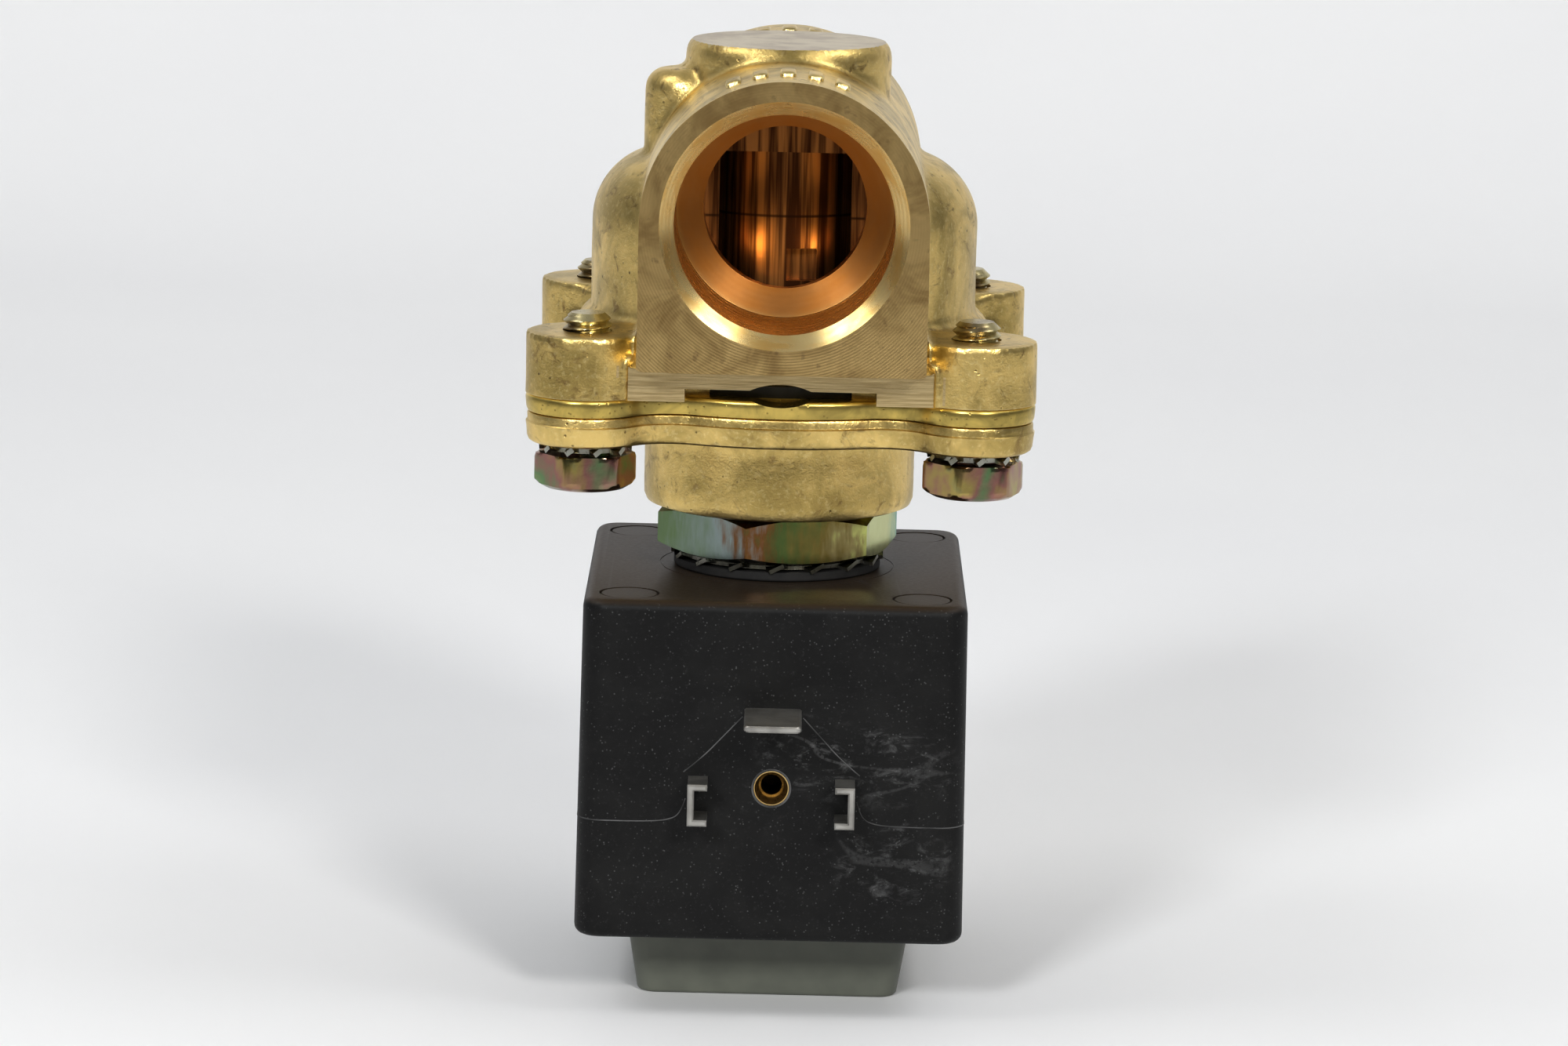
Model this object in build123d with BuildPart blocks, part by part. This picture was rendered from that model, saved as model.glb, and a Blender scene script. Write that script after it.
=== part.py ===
from build123d import *
from math import cos, radians
import os

os.makedirs("parts", exist_ok=True)

# A servo-assisted solenoid valve that stands upside down on the cap of its coil. From the floor up:
# cap, coil, hex nut of the core tube, cover with four bolts, intermediate plate, valve body.
# The origin is the centre of the cap's foot. +Z runs up the tube axis, the two ports lie along Y,
# and the coil's terminals point to -Y. All sizes are in millimetres.

# ---- Levels along the tube axis
CAP_TOP = 9.5
COIL_BOTTOM = 9.6
COIL_TOP = 51.9
SEAL_BOTTOM = 51.95
SEAL_TOP = 53.1
HEX_BOTTOM = 54.1
HEX_TOP = 60.0
SPIGOT_TOP = 65.5
COVER_FLANGE_BOTTOM = 71.0
COVER_RIDGE = 73.4
COVER_TOP = 74.7
PLATE_TOP = 77.0
STRIP_TOP = 81.2
SEAT = 81.65
LOBE_TOP = 84.6
BOLT_TIP = 86.8
PORT_Z = 99.2
DOME_TOP = 104.5
POST_TOP = 114.6
BOSS_TOP = 118.1

# ---- Fits
RUNNING = 0.07
SNUG = 0.05
CLEARANCE = 0.3

# ---- Flange shared by the body, the plate and the cover
BOLT_PITCH = 47.3
BOLT_R = 3.0
LOBE_R = 7.5
WAIST_R = 28.4
LOBE_BLEND = 6.0
LOBE_SPOKE = BOLT_PITCH / 2 * 2**0.5
FLANGE_EDGE = 0.5

# ---- Valve body
FLANGE_H = 3.6
STRIP_X = 18.3
STRIP_Y = 30.0
DOME_R = 24.1
DOME_ROUND = 9.0
HUB_R = 17.5
HUB_CORNER = 1.0
PORT_FACE = 35.0
BORE_R = 13.3
BORE_END = 18.0
BORE_CHAMFER_R = 15.05
BORE_CHAMFER = 1.7
THROAT_R = 10.0
THROAT_START = 16.0
INLET_END = 12.0
BOSS_R = 12.8
BOSS_ROUND = 2.0
POST_R = 5.4
POST_X = -12.3
POST_Y = -2.0
POST_ROUND = 2.4
CHAMBER_R = 19.5
CHAMBER_TOP = 90.0
GALLERY_R = 14.5
GALLERY_TOP = 105.5
COLUMN_R = 11.5
SEAT_R = 9.0
COLUMN_BORE_TOP = 103.0
TUNNEL_R = 12.3
RIM_RECESS_R = 25.8
RIM_T = 1.4
PRY_X = 11.6
PRY_H = 1.6
PRY_LENS_R = 9.0
PRY_LENS_RISE = 2.6
PILOT_X = -22.0
PILOT_R = 0.9
PILOT_TOP = 86.0
WEB_W = 5.0

# ---- Cover and intermediate plate
COVER_BOSS_R = 16.95
COVER_BOSS_ROUND = 1.2
COVER_FILLET = 1.6
COVER_DRAFT = 12.0
THREAD_R = 10.0
PLUNGER_CHAMBER_R = 8.2
FLOOR_BOTTOM = 66.7
FLOOR_TOP = 69.7
CONTROL_R = 13.0
RISER_X = -14.95
CROSS_Z = 68.2
FEED_Y = 5.5
PLATE_RING_R = 25.0
PLATE_RING_WIRE = 0.6
PLATE_RECESS = 0.9
PILOT_GROOVE = 0.9
BOLT_HOLE_R = 3.3

# ---- Diaphragm group, closed against the seat
PAD_BOTTOM = 80.2
PAD_TOP = SEAT - SNUG
PAD_R = 12.6
MEMBRANE_R = 25.5
SCREW_R = 2.5
LOWER_DISC_R = 12.0
LOWER_DISC_T = 1.2
UPPER_DISC_R = 8.2
UPPER_DISC_T = 1.4
SPRING_R = 7.5
SPRING_WIRE_R = 0.5

# ---- Core tube, core and plunger
TUBE_R = 7.0
TUBE_WALL = 0.5
TUBE_BOTTOM = 10.0
TUBE_FLANGE_R = 8.5
TUBE_FLANGE_T = 1.4
CORE_TOP = 28.5
STUD_R = 4.0
STUD_BOTTOM = 2.9
PLUNGER_STROKE = 2.4
PLUNGER_BOTTOM = CORE_TOP + PLUNGER_STROKE + 0.1
PLUNGER_TOP = 64.4
PILOT_LIP = 64.5
HEX_AF = 27.0
HEX_TURN = 45.4
HEX_EDGE = 1.1

# ---- Coil
COIL_W_BOTTOM = 47.9
COIL_W_TOP = 47.1
COIL_D = 55.4
COIL_CORNER = 3.2
COIL_EDGE = 1.2
CAVITY_X = 16.2
CAVITY_Y = 19.3
CAVITY_WALL = 2.0
CONNECTOR_Z = 29.0
PIN_TIP = 33.0
PIN_X = 9.0
PIN_W = 2.4
PIN_Z = 27.75
PIN_H = 5.2
PIN_T = 0.8
PIN_EDGE = 0.2
EARTH_TIP = 38.7
EARTH_Z = 38.6
EARTH_W = 7.0
TERMINAL_ROOT = 19.0
INSERT_R = 2.25
INSERT_HOLE_R = 1.45
INSERT_MOUTH_R = 2.05
INSERT_MOUTH_DEPTH = 1.8
INSERT_DEPTH = 8.0

# ---- Cap, coil nut and bolts
CAP_BOTTOM_W = 32.4
CAP_TOP_W = 35.4
CAP_CORNER = 2.5
CAP_WALL = 2.0
NUT_AF = 13.0
NUT_BOTTOM = 3.6
NUT_TOP = 8.6
BOLT_AF = 11.0
HEAD_BOTTOM = 65.3
HEAD_TOP = 69.7
WASHER_R = 5.7
WASHER_TOP = 71.0
TOOTH_COUNT = 12

# ---- Screw, nut and spring of the diaphragm
NUT_M5_AF = 8.0
NUT_M5_T = 2.0
SCREW_HEAD_R = 4.2
SCREW_HEAD_H = 2.0
SCREW_SLOT_W = 1.0
SPRING_TURNS = 4
DISC_BOTTOM = PAD_BOTTOM - LOWER_DISC_T
DISC_TOP = PAD_TOP + UPPER_DISC_T
SPRING_LOW = FLOOR_TOP + SPRING_WIRE_R + SNUG
SPRING_HIGH = DISC_BOTTOM - SPRING_WIRE_R - SNUG

# ---- Pilot seat, shading ring and the ring on the tube
LIP_R = 1.6
SHADING_R = 4.2
SHADING_W = 1.0
TUBE_RING_WIRE = (FLOOR_BOTTOM - SPIGOT_TOP) / 2

# ---- Plunger, its seal and its spring
PLUNGER_R = TUBE_R - TUBE_WALL - RUNNING
SPRING_BORE_R = 3.3
SPRING_BORE_DEPTH = 9.0
SEAL_R = 3.2
SEAL_DEPTH = 2.4
FLUTE_R = 0.8
RETURN_R = 2.6
RETURN_WIRE_R = 0.3
RETURN_TURNS = 6
RETURN_LOW = CORE_TOP + RETURN_WIRE_R + SNUG
RETURN_HIGH = PLUNGER_BOTTOM + SPRING_BORE_DEPTH - RETURN_WIRE_R - SNUG

# ---- Rings between coil and hexagon nut
SEAL_RING_R = 13.0
TOOTHED_R = 14.0
TOOTHED_TEETH = 16
SEAL_EDGE = 0.3

# ---- Yoke and bobbin
YOKE_X = 14.0
YOKE_T = 2.3
YOKE_BOTTOM = COIL_BOTTOM + CAVITY_WALL + SNUG
YOKE_TOP = COIL_TOP - CAVITY_WALL - SNUG
BOBBIN_R = 15.9
BOBBIN_WALL = 1.2
BOBBIN_BOTTOM = YOKE_BOTTOM + YOKE_T + SNUG
BOBBIN_TOP = YOKE_TOP - YOKE_T - SNUG
BOBBIN_BARREL_R = TUBE_R + CLEARANCE + BOBBIN_WALL

# ---- Derived sizes and overcuts
HEX_HALF_TURN = 30.0
CAP_GRIP_R = NUT_AF / 2 / cos(radians(HEX_HALF_TURN)) + SNUG
HEX_CORNER_R = HEX_AF / 2 / cos(radians(HEX_HALF_TURN))
BOLT_TOOTH_TURN = 180 / TOOTH_COUNT
RING_TOOTH_TURN = 180 / TOOTHED_TEETH
OVERLAP = 1.0
PRY_WALL = 1.5


def draw_flange(sketch, grow=0.0):
    """Draw the round plate with four bolt lobes in an open sketch."""
    Circle(WAIST_R + grow)
    with GridLocations(BOLT_PITCH, BOLT_PITCH, 2, 2):
        Circle(LOBE_R + grow)
    fillet(sketch.vertices(), radius=LOBE_BLEND)


# ---------------------------------------------------------------- valve body
# One brass casting: a lobed flange, a round chamber and two port hubs with a flat underside.
with BuildPart() as valve_body:
    # A round post and a taller round boss, both with rounded rims.
    with BuildSketch(Plane.XY.offset(PORT_Z)):
        with Locations((POST_X, POST_Y)):
            Circle(POST_R)
    extrude(amount=POST_TOP - PORT_Z)
    fillet(valve_body.edges().group_by(Axis.Z)[-1], radius=POST_ROUND)
    with BuildSketch(Plane.XY.offset(PORT_Z)):
        Circle(BOSS_R)
    extrude(amount=BOSS_TOP - PORT_Z)
    fillet(valve_body.edges().group_by(Axis.Z)[-1], radius=BOSS_ROUND)
    # Lobed flange.
    with BuildSketch(Plane.XY.offset(PLATE_TOP)) as body_flange:
        draw_flange(body_flange)
    extrude(amount=FLANGE_H)
    # Four lobes stand higher than the flange, each tied to the chamber by a web.
    with BuildSketch(Plane.XY.offset(PLATE_TOP)):
        with GridLocations(BOLT_PITCH, BOLT_PITCH, 2, 2):
            Circle(LOBE_R)
        with PolarLocations(LOBE_SPOKE / 2, 4, 45):
            Rectangle(LOBE_SPOKE, 2 * LOBE_R)
    extrude(amount=LOBE_TOP - PLATE_TOP)
    # A square-sided strip carries the two hubs down to the flange.
    with BuildSketch(Plane.XY.offset(PLATE_TOP)):
        Rectangle(2 * STRIP_X, 2 * STRIP_Y)
    extrude(amount=STRIP_TOP - PLATE_TOP)
    # The chamber rises with upright sides and a round shoulder.
    with BuildSketch(Plane.XZ):
        with BuildLine():
            Polyline((0, PLATE_TOP), (DOME_R, PLATE_TOP), (DOME_R, DOME_TOP - DOME_ROUND))
            JernArc((DOME_R, DOME_TOP - DOME_ROUND), (0, 1), DOME_ROUND, 90)
            Polyline((DOME_R - DOME_ROUND, DOME_TOP), (0, DOME_TOP), (0, PLATE_TOP))
        make_face()
    revolve(axis=Axis.Z)
    # Each hub is round above its port and square below it.
    with BuildSketch(Plane.XZ) as hub:
        with Locations((0, PORT_Z)):
            Circle(HUB_R)
        with Locations((0, (PORT_Z + STRIP_TOP) / 2)):
            Rectangle(2 * HUB_R, PORT_Z - STRIP_TOP)
        fillet(hub.vertices().sort_by(Axis.Y)[:2], radius=HUB_CORNER)
    extrude(amount=PORT_FACE, both=True)
    # The flow enters a ring-shaped chamber around the seat column.
    with BuildSketch(Plane.XY.offset(PLATE_TOP)):
        Circle(CHAMBER_R)
    extrude(amount=CHAMBER_TOP - PLATE_TOP, mode=Mode.SUBTRACT)
    with BuildSketch(Plane.XY.offset(CHAMBER_TOP)):
        Circle(GALLERY_R)
    extrude(amount=GALLERY_TOP - CHAMBER_TOP, mode=Mode.SUBTRACT)
    with BuildSketch(Plane.XY.offset(SEAT)):
        Circle(COLUMN_R)
    extrude(amount=GALLERY_TOP + OVERLAP - SEAT)
    with BuildSketch(Plane.XZ.offset(-BORE_END)):
        with Locations((0, PORT_Z)):
            Circle(TUNNEL_R)
    extrude(amount=BORE_END)
    # A cast web between the column and the chamber wall holds the pilot channel.
    with BuildSketch(Plane.XY.offset(SEAT + OVERLAP)):
        with Locations((-(COLUMN_R + CHAMBER_R) / 2, 0)):
            Rectangle(CHAMBER_R - COLUMN_R + 2 * OVERLAP, WEB_W)
    extrude(amount=PORT_Z - SEAT)
    with BuildSketch(Plane.XY.offset(SEAT)):
        Circle(SEAT_R)
    extrude(amount=COLUMN_BORE_TOP - SEAT, mode=Mode.SUBTRACT)
    # Both ports: chamfer, smooth bore, cone and throat. The rear throat meets the column's bore.
    for side, end in ((-1, INLET_END), (1, 0)):
        with BuildSketch(Plane.YZ):
            Polygon(
                (side * (PORT_FACE + OVERLAP), PORT_Z),
                (side * (PORT_FACE + OVERLAP), PORT_Z + BORE_CHAMFER_R),
                (side * PORT_FACE, PORT_Z + BORE_CHAMFER_R),
                (side * (PORT_FACE - BORE_CHAMFER), PORT_Z + BORE_R),
                (side * BORE_END, PORT_Z + BORE_R),
                (side * THROAT_START, PORT_Z + THROAT_R),
                (side * end, PORT_Z + THROAT_R),
                (side * end, PORT_Z),
                align=None,
            )
        revolve(axis=Axis((0, 0, PORT_Z), (0, 1, 0)), mode=Mode.SUBTRACT)
    # Seat for the diaphragm's rim, threaded bolt holes and the pilot channel.
    with BuildSketch(Plane.XY.offset(PLATE_TOP)):
        Circle(RIM_RECESS_R)
    extrude(amount=RIM_T, mode=Mode.SUBTRACT)
    with BuildSketch(Plane.XY.offset(PLATE_TOP)):
        with GridLocations(BOLT_PITCH, BOLT_PITCH, 2, 2):
            Circle(BOLT_R + SNUG)
    extrude(amount=LOBE_TOP - PLATE_TOP, mode=Mode.SUBTRACT)
    with BuildSketch(Plane.XY.offset(PLATE_TOP)):
        with Locations((PILOT_X, 0)):
            Circle(PILOT_R)
    extrude(amount=PILOT_TOP - PLATE_TOP, mode=Mode.SUBTRACT)
    with BuildSketch(Plane.YZ.offset(PILOT_X)):
        with Locations((0, PILOT_TOP)):
            Circle(PILOT_R)
    extrude(amount=-PILOT_X - SEAT_R + OVERLAP, mode=Mode.SUBTRACT)
    # Pry slots at the parting face, front and rear, each with a shallow round notch.
    for side in (-1, 1):
        with BuildSketch(Plane.XZ.offset(-side * (RIM_RECESS_R - PRY_WALL))):
            with Locations((0, PLATE_TOP + PRY_H / 2)):
                Rectangle(2 * PRY_X, PRY_H)
            with Locations((0, PLATE_TOP + PRY_LENS_RISE - PRY_LENS_R)):
                Circle(PRY_LENS_R)
        extrude(amount=-side * STRIP_Y, mode=Mode.SUBTRACT)
valve_body.part.label = "valve_body"
export_step(valve_body.part, "parts/valve_body.step")

# ---------------------------------------------------------------- cover
# A brass casting under the plate: lobed flange with a ridge around its edge, and a threaded boss.
with BuildPart() as cover:
    with BuildSketch(Plane.XY.offset(COVER_RIDGE)) as ridge_up:
        draw_flange(ridge_up)
    extrude(amount=COVER_TOP - COVER_RIDGE, taper=COVER_DRAFT)
    with BuildSketch(Plane.XY.offset(COVER_RIDGE)) as ridge_down:
        draw_flange(ridge_down)
    extrude(amount=COVER_FLANGE_BOTTOM - COVER_RIDGE, taper=COVER_DRAFT)
    with BuildSketch(Plane.XZ):
        with BuildLine():
            Polyline((0, COVER_RIDGE), (0, HEX_TOP), (COVER_BOSS_R - COVER_BOSS_ROUND, HEX_TOP))
            JernArc((COVER_BOSS_R - COVER_BOSS_ROUND, HEX_TOP), (1, 0), COVER_BOSS_ROUND, 90)
            Line(
                (COVER_BOSS_R, HEX_TOP + COVER_BOSS_ROUND),
                (COVER_BOSS_R, COVER_FLANGE_BOTTOM - COVER_FILLET),
            )
            JernArc((COVER_BOSS_R, COVER_FLANGE_BOTTOM - COVER_FILLET), (0, 1), COVER_FILLET, -90)
            Polyline(
                (COVER_BOSS_R + COVER_FILLET, COVER_FLANGE_BOTTOM),
                (COVER_BOSS_R + COVER_FILLET, COVER_RIDGE),
                (0, COVER_RIDGE),
            )
        make_face()
    revolve(axis=Axis.Z)
    # Threaded bore, plunger chamber, floor and control chamber, from the boss upwards.
    for low, high, radius in (
        (HEX_TOP, SPIGOT_TOP, THREAD_R + SNUG),
        (SPIGOT_TOP, FLOOR_BOTTOM, PLUNGER_CHAMBER_R),
        (FLOOR_BOTTOM, FLOOR_TOP, SCREW_R),
        (FLOOR_TOP, COVER_TOP, CONTROL_R),
    ):
        with BuildSketch(Plane.XY.offset(low)):
            Circle(radius)
        extrude(amount=high - low, mode=Mode.SUBTRACT)
    # Two feed holes through the floor.
    with BuildSketch(Plane.XY.offset(FLOOR_BOTTOM)):
        with GridLocations(0, 2 * FEED_Y, 1, 2):
            Circle(PILOT_R)
    extrude(amount=FLOOR_TOP - FLOOR_BOTTOM, mode=Mode.SUBTRACT)
    # The pilot channel runs sideways inside the floor, then up to the plate.
    with BuildSketch(Plane.YZ.offset(RISER_X)):
        with Locations((0, CROSS_Z)):
            Circle(PILOT_R)
    extrude(amount=-RISER_X, mode=Mode.SUBTRACT)
    with BuildSketch(Plane.XY.offset(CROSS_Z)):
        with Locations((RISER_X, 0)):
            Circle(PILOT_R)
    extrude(amount=COVER_TOP - CROSS_Z, mode=Mode.SUBTRACT)
    # Groove for the sealing ring, and clearance holes for the bolts.
    with BuildSketch(Plane.XY.offset(COVER_TOP - 2 * PLATE_RING_WIRE)):
        Circle(PLATE_RING_R + PLATE_RING_WIRE + SNUG)
        Circle(PLATE_RING_R - PLATE_RING_WIRE - SNUG, mode=Mode.SUBTRACT)
    extrude(amount=2 * PLATE_RING_WIRE, mode=Mode.SUBTRACT)
    with BuildSketch(Plane.XY.offset(COVER_FLANGE_BOTTOM)):
        with GridLocations(BOLT_PITCH, BOLT_PITCH, 2, 2):
            Circle(BOLT_HOLE_R)
    extrude(amount=COVER_TOP - COVER_FLANGE_BOTTOM, mode=Mode.SUBTRACT)
cover.part.label = "cover"
export_step(cover.part, "parts/cover.step")

# ---------------------------------------------------------------- intermediate plate
# A thin brass plate that clamps the diaphragm and carries the pilot channel past the control chamber.
with BuildPart() as intermediate_plate:
    with BuildSketch(Plane.XY.offset(COVER_TOP)) as plate_outline:
        draw_flange(plate_outline)
    extrude(amount=PLATE_TOP - COVER_TOP)
    fillet(intermediate_plate.edges().group_by(Axis.Z)[-1], radius=FLANGE_EDGE)
    with BuildSketch(Plane.XY.offset(COVER_TOP)):
        Circle(CONTROL_R)
    extrude(amount=PLATE_TOP - COVER_TOP, mode=Mode.SUBTRACT)
    with BuildSketch(Plane.XY.offset(PLATE_TOP - PLATE_RECESS)):
        Circle(CHAMBER_R)
    extrude(amount=PLATE_RECESS, mode=Mode.SUBTRACT)
    with BuildSketch(Plane.XY.offset(COVER_TOP)):
        with Locations(((PILOT_X + RISER_X) / 2, 0)):
            SlotCenterToCenter(RISER_X - PILOT_X, 2 * PILOT_R)
    extrude(amount=PILOT_GROOVE, mode=Mode.SUBTRACT)
    with BuildSketch(Plane.XY.offset(COVER_TOP)):
        with Locations((PILOT_X, 0)):
            Circle(PILOT_R)
        with GridLocations(BOLT_PITCH, BOLT_PITCH, 2, 2):
            Circle(BOLT_HOLE_R)
    extrude(amount=PLATE_TOP - COVER_TOP, mode=Mode.SUBTRACT)
intermediate_plate.part.label = "intermediate_plate"
export_step(intermediate_plate.part, "parts/intermediate_plate.step")

# Sealing ring between cover and plate.
with BuildPart() as plate_o_ring:
    with BuildSketch(Plane.XZ):
        with Locations((PLATE_RING_R, COVER_TOP - PLATE_RING_WIRE)):
            Circle(PLATE_RING_WIRE - SNUG)
    revolve(axis=Axis.Z)
plate_o_ring.part.label = "plate_o_ring"
export_step(plate_o_ring.part, "parts/plate_o_ring.step")

# ---------------------------------------------------------------- bolts and washers
# Hexagon bolts pushed up through cover and plate into the body's lobes, tips standing out on top.
with BuildPart() as cover_bolts:
    with BuildSketch(Plane.XY.offset(HEAD_BOTTOM)):
        with GridLocations(BOLT_PITCH, BOLT_PITCH, 2, 2):
            RegularPolygon(BOLT_AF / 2, 6, major_radius=False)
    extrude(amount=HEAD_TOP - HEAD_BOTTOM)
    chamfer(cover_bolts.edges().group_by(Axis.Z)[0], length=FLANGE_EDGE)
    with BuildSketch(Plane.XY.offset(HEAD_TOP)):
        with GridLocations(BOLT_PITCH, BOLT_PITCH, 2, 2):
            Circle(BOLT_R)
    extrude(amount=BOLT_TIP - HEAD_TOP)
    chamfer(cover_bolts.edges().group_by(Axis.Z)[-1], length=FLANGE_EDGE)
cover_bolts.part.label = "cover_bolts"
export_step(cover_bolts.part, "parts/cover_bolts.step")

# External-tooth lock washers between the heads and the cover.
with BuildPart() as lock_washers:
    with BuildSketch(Plane.XY.offset(HEAD_TOP)):
        with GridLocations(BOLT_PITCH, BOLT_PITCH, 2, 2):
            RegularPolygon(WASHER_R, TOOTH_COUNT)
            RegularPolygon(WASHER_R, TOOTH_COUNT, rotation=BOLT_TOOTH_TURN)
            Circle(BOLT_HOLE_R, mode=Mode.SUBTRACT)
    extrude(amount=WASHER_TOP - HEAD_TOP)
lock_washers.part.label = "lock_washers"
export_step(lock_washers.part, "parts/lock_washers.step")

# ---------------------------------------------------------------- diaphragm group
# A rubber diaphragm whose rim is clamped flat; its middle stands higher and closes the seat.
with BuildPart() as diaphragm:
    with BuildSketch(Plane.XZ):
        Polygon(
            (SCREW_R + SNUG, PAD_BOTTOM),
            (SCREW_R + SNUG, PAD_TOP),
            (PAD_R, PAD_TOP),
            (CHAMBER_R - CLEARANCE, PLATE_TOP + RIM_T),
            (MEMBRANE_R, PLATE_TOP + RIM_T),
            (MEMBRANE_R, PLATE_TOP),
            (CHAMBER_R - 2 * CLEARANCE, PLATE_TOP),
            (PAD_R - CLEARANCE, PAD_BOTTOM),
            align=None,
        )
    revolve(axis=Axis.Z)
    with BuildSketch(Plane.XY.offset(PLATE_TOP)):
        with Locations((PILOT_X, 0)):
            Circle(PILOT_R)
    extrude(amount=RIM_T, mode=Mode.SUBTRACT)
diaphragm.part.label = "diaphragm"
export_step(diaphragm.part, "parts/diaphragm.step")

# Support disc on the control side.
with BuildPart() as diaphragm_lower_disc:
    with BuildSketch(Plane.XY.offset(PAD_BOTTOM - LOWER_DISC_T)):
        Circle(LOWER_DISC_R)
        Circle(SCREW_R + SNUG, mode=Mode.SUBTRACT)
    extrude(amount=LOWER_DISC_T)
    fillet(diaphragm_lower_disc.edges().group_by(Axis.Z)[0].sort_by(SortBy.LENGTH)[-1], radius=FLANGE_EDGE)
diaphragm_lower_disc.part.label = "diaphragm_lower_disc"
export_step(diaphragm_lower_disc.part, "parts/diaphragm_lower_disc.step")

# Support disc inside the seat.
with BuildPart() as diaphragm_upper_disc:
    with BuildSketch(Plane.XY.offset(PAD_TOP)):
        Circle(UPPER_DISC_R)
        Circle(SCREW_R + SNUG, mode=Mode.SUBTRACT)
    extrude(amount=UPPER_DISC_T)
    upper_rim = diaphragm_upper_disc.edges().group_by(Axis.Z)[-1].sort_by(SortBy.LENGTH)[-1]
    chamfer(upper_rim, length=FLANGE_EDGE)
diaphragm_upper_disc.part.label = "diaphragm_upper_disc"
export_step(diaphragm_upper_disc.part, "parts/diaphragm_upper_disc.step")

# Screw through the discs, with a round head, and its nut below.
with BuildPart() as diaphragm_screw:
    with BuildSketch(Plane.XY.offset(DISC_BOTTOM - NUT_M5_T - FLANGE_EDGE)):
        Circle(SCREW_R)
    extrude(amount=DISC_TOP - DISC_BOTTOM + NUT_M5_T + FLANGE_EDGE)
    with BuildSketch(Plane.XY.offset(DISC_TOP)):
        Circle(SCREW_HEAD_R)
    extrude(amount=SCREW_HEAD_H)
    fillet(diaphragm_screw.edges().group_by(Axis.Z)[-1], radius=FLANGE_EDGE)
    with BuildSketch(Plane.XY.offset(DISC_TOP + SCREW_HEAD_H)):
        Rectangle(2 * SCREW_HEAD_R, SCREW_SLOT_W)
    extrude(amount=-SCREW_HEAD_H / 2, mode=Mode.SUBTRACT)
diaphragm_screw.part.label = "diaphragm_screw"
export_step(diaphragm_screw.part, "parts/diaphragm_screw.step")

with BuildPart() as diaphragm_nut:
    with BuildSketch(Plane.XY.offset(DISC_BOTTOM - NUT_M5_T)):
        RegularPolygon(NUT_M5_AF / 2, 6, major_radius=False)
        Circle(SCREW_R + SNUG, mode=Mode.SUBTRACT)
    extrude(amount=NUT_M5_T)
diaphragm_nut.part.label = "diaphragm_nut"
export_step(diaphragm_nut.part, "parts/diaphragm_nut.step")

# Spring that closes the diaphragm, between the cover's floor and the control-side disc.
with BuildPart() as diaphragm_spring:
    with BuildLine() as spring_path:
        Helix(
            pitch=(SPRING_HIGH - SPRING_LOW) / SPRING_TURNS,
            height=SPRING_HIGH - SPRING_LOW,
            radius=SPRING_R,
            center=(0, 0, SPRING_LOW),
        )
    with BuildSketch(Plane(origin=spring_path.line @ 0, z_dir=spring_path.line % 0)):
        Circle(SPRING_WIRE_R)
    sweep(path=spring_path.line, is_frenet=True)
diaphragm_spring.part.label = "diaphragm_spring"
export_step(diaphragm_spring.part, "parts/diaphragm_spring.step")

# ---------------------------------------------------------------- pilot seat, core tube and its nut
# Brass nozzle pressed into the cover's floor. Its lip points down at the plunger.
with BuildPart() as pilot_seat:
    with BuildSketch(Plane.XZ):
        Polygon(
            (0, PILOT_LIP),
            (LIP_R, PILOT_LIP),
            (SCREW_R - SNUG, FLOOR_BOTTOM),
            (SCREW_R - SNUG, FLOOR_TOP),
            (0, FLOOR_TOP),
            align=None,
        )
    revolve(axis=Axis.Z)
    with BuildSketch(Plane.XY.offset(PILOT_LIP)):
        Circle(PILOT_R)
    extrude(amount=CROSS_Z - PILOT_LIP, mode=Mode.SUBTRACT)
    with BuildSketch(Plane.YZ):
        with Locations((0, CROSS_Z)):
            Circle(PILOT_R)
    extrude(amount=-SCREW_R, mode=Mode.SUBTRACT)
pilot_seat.part.label = "pilot_seat"
export_step(pilot_seat.part, "parts/pilot_seat.step")

# Hexagon nut that holds the core tube. Its spigot screws into the cover's boss.
with BuildPart() as tube_hex_nut:
    with BuildSketch(Plane.XY.offset(HEX_BOTTOM)):
        RegularPolygon(HEX_AF / 2, 6, major_radius=False, rotation=HEX_TURN - HEX_HALF_TURN)
    extrude(amount=HEX_TOP - HEX_BOTTOM)
    # Both ends of the hexagon are turned down to a round bevel.
    with BuildSketch(Plane.XZ):
        Polygon(
            (0, HEX_BOTTOM),
            (HEX_AF / 2 - FLANGE_EDGE, HEX_BOTTOM),
            (HEX_CORNER_R, HEX_BOTTOM + HEX_EDGE),
            (HEX_CORNER_R, HEX_TOP - HEX_EDGE),
            (HEX_AF / 2 - FLANGE_EDGE, HEX_TOP),
            (0, HEX_TOP),
            align=None,
        )
    revolve(axis=Axis.Z, mode=Mode.INTERSECT)
    with BuildSketch(Plane.XY.offset(HEX_TOP)):
        Circle(THREAD_R)
    extrude(amount=SPIGOT_TOP - HEX_TOP)
    with BuildSketch(Plane.XY.offset(HEX_BOTTOM)):
        Circle(TUBE_R + SNUG)
    extrude(amount=SPIGOT_TOP - HEX_BOTTOM, mode=Mode.SUBTRACT)
    with BuildSketch(Plane.XY.offset(SPIGOT_TOP - TUBE_FLANGE_T)):
        Circle(TUBE_FLANGE_R + SNUG)
    extrude(amount=TUBE_FLANGE_T, mode=Mode.SUBTRACT)
tube_hex_nut.part.label = "tube_hex_nut"
export_step(tube_hex_nut.part, "parts/tube_hex_nut.step")

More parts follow.
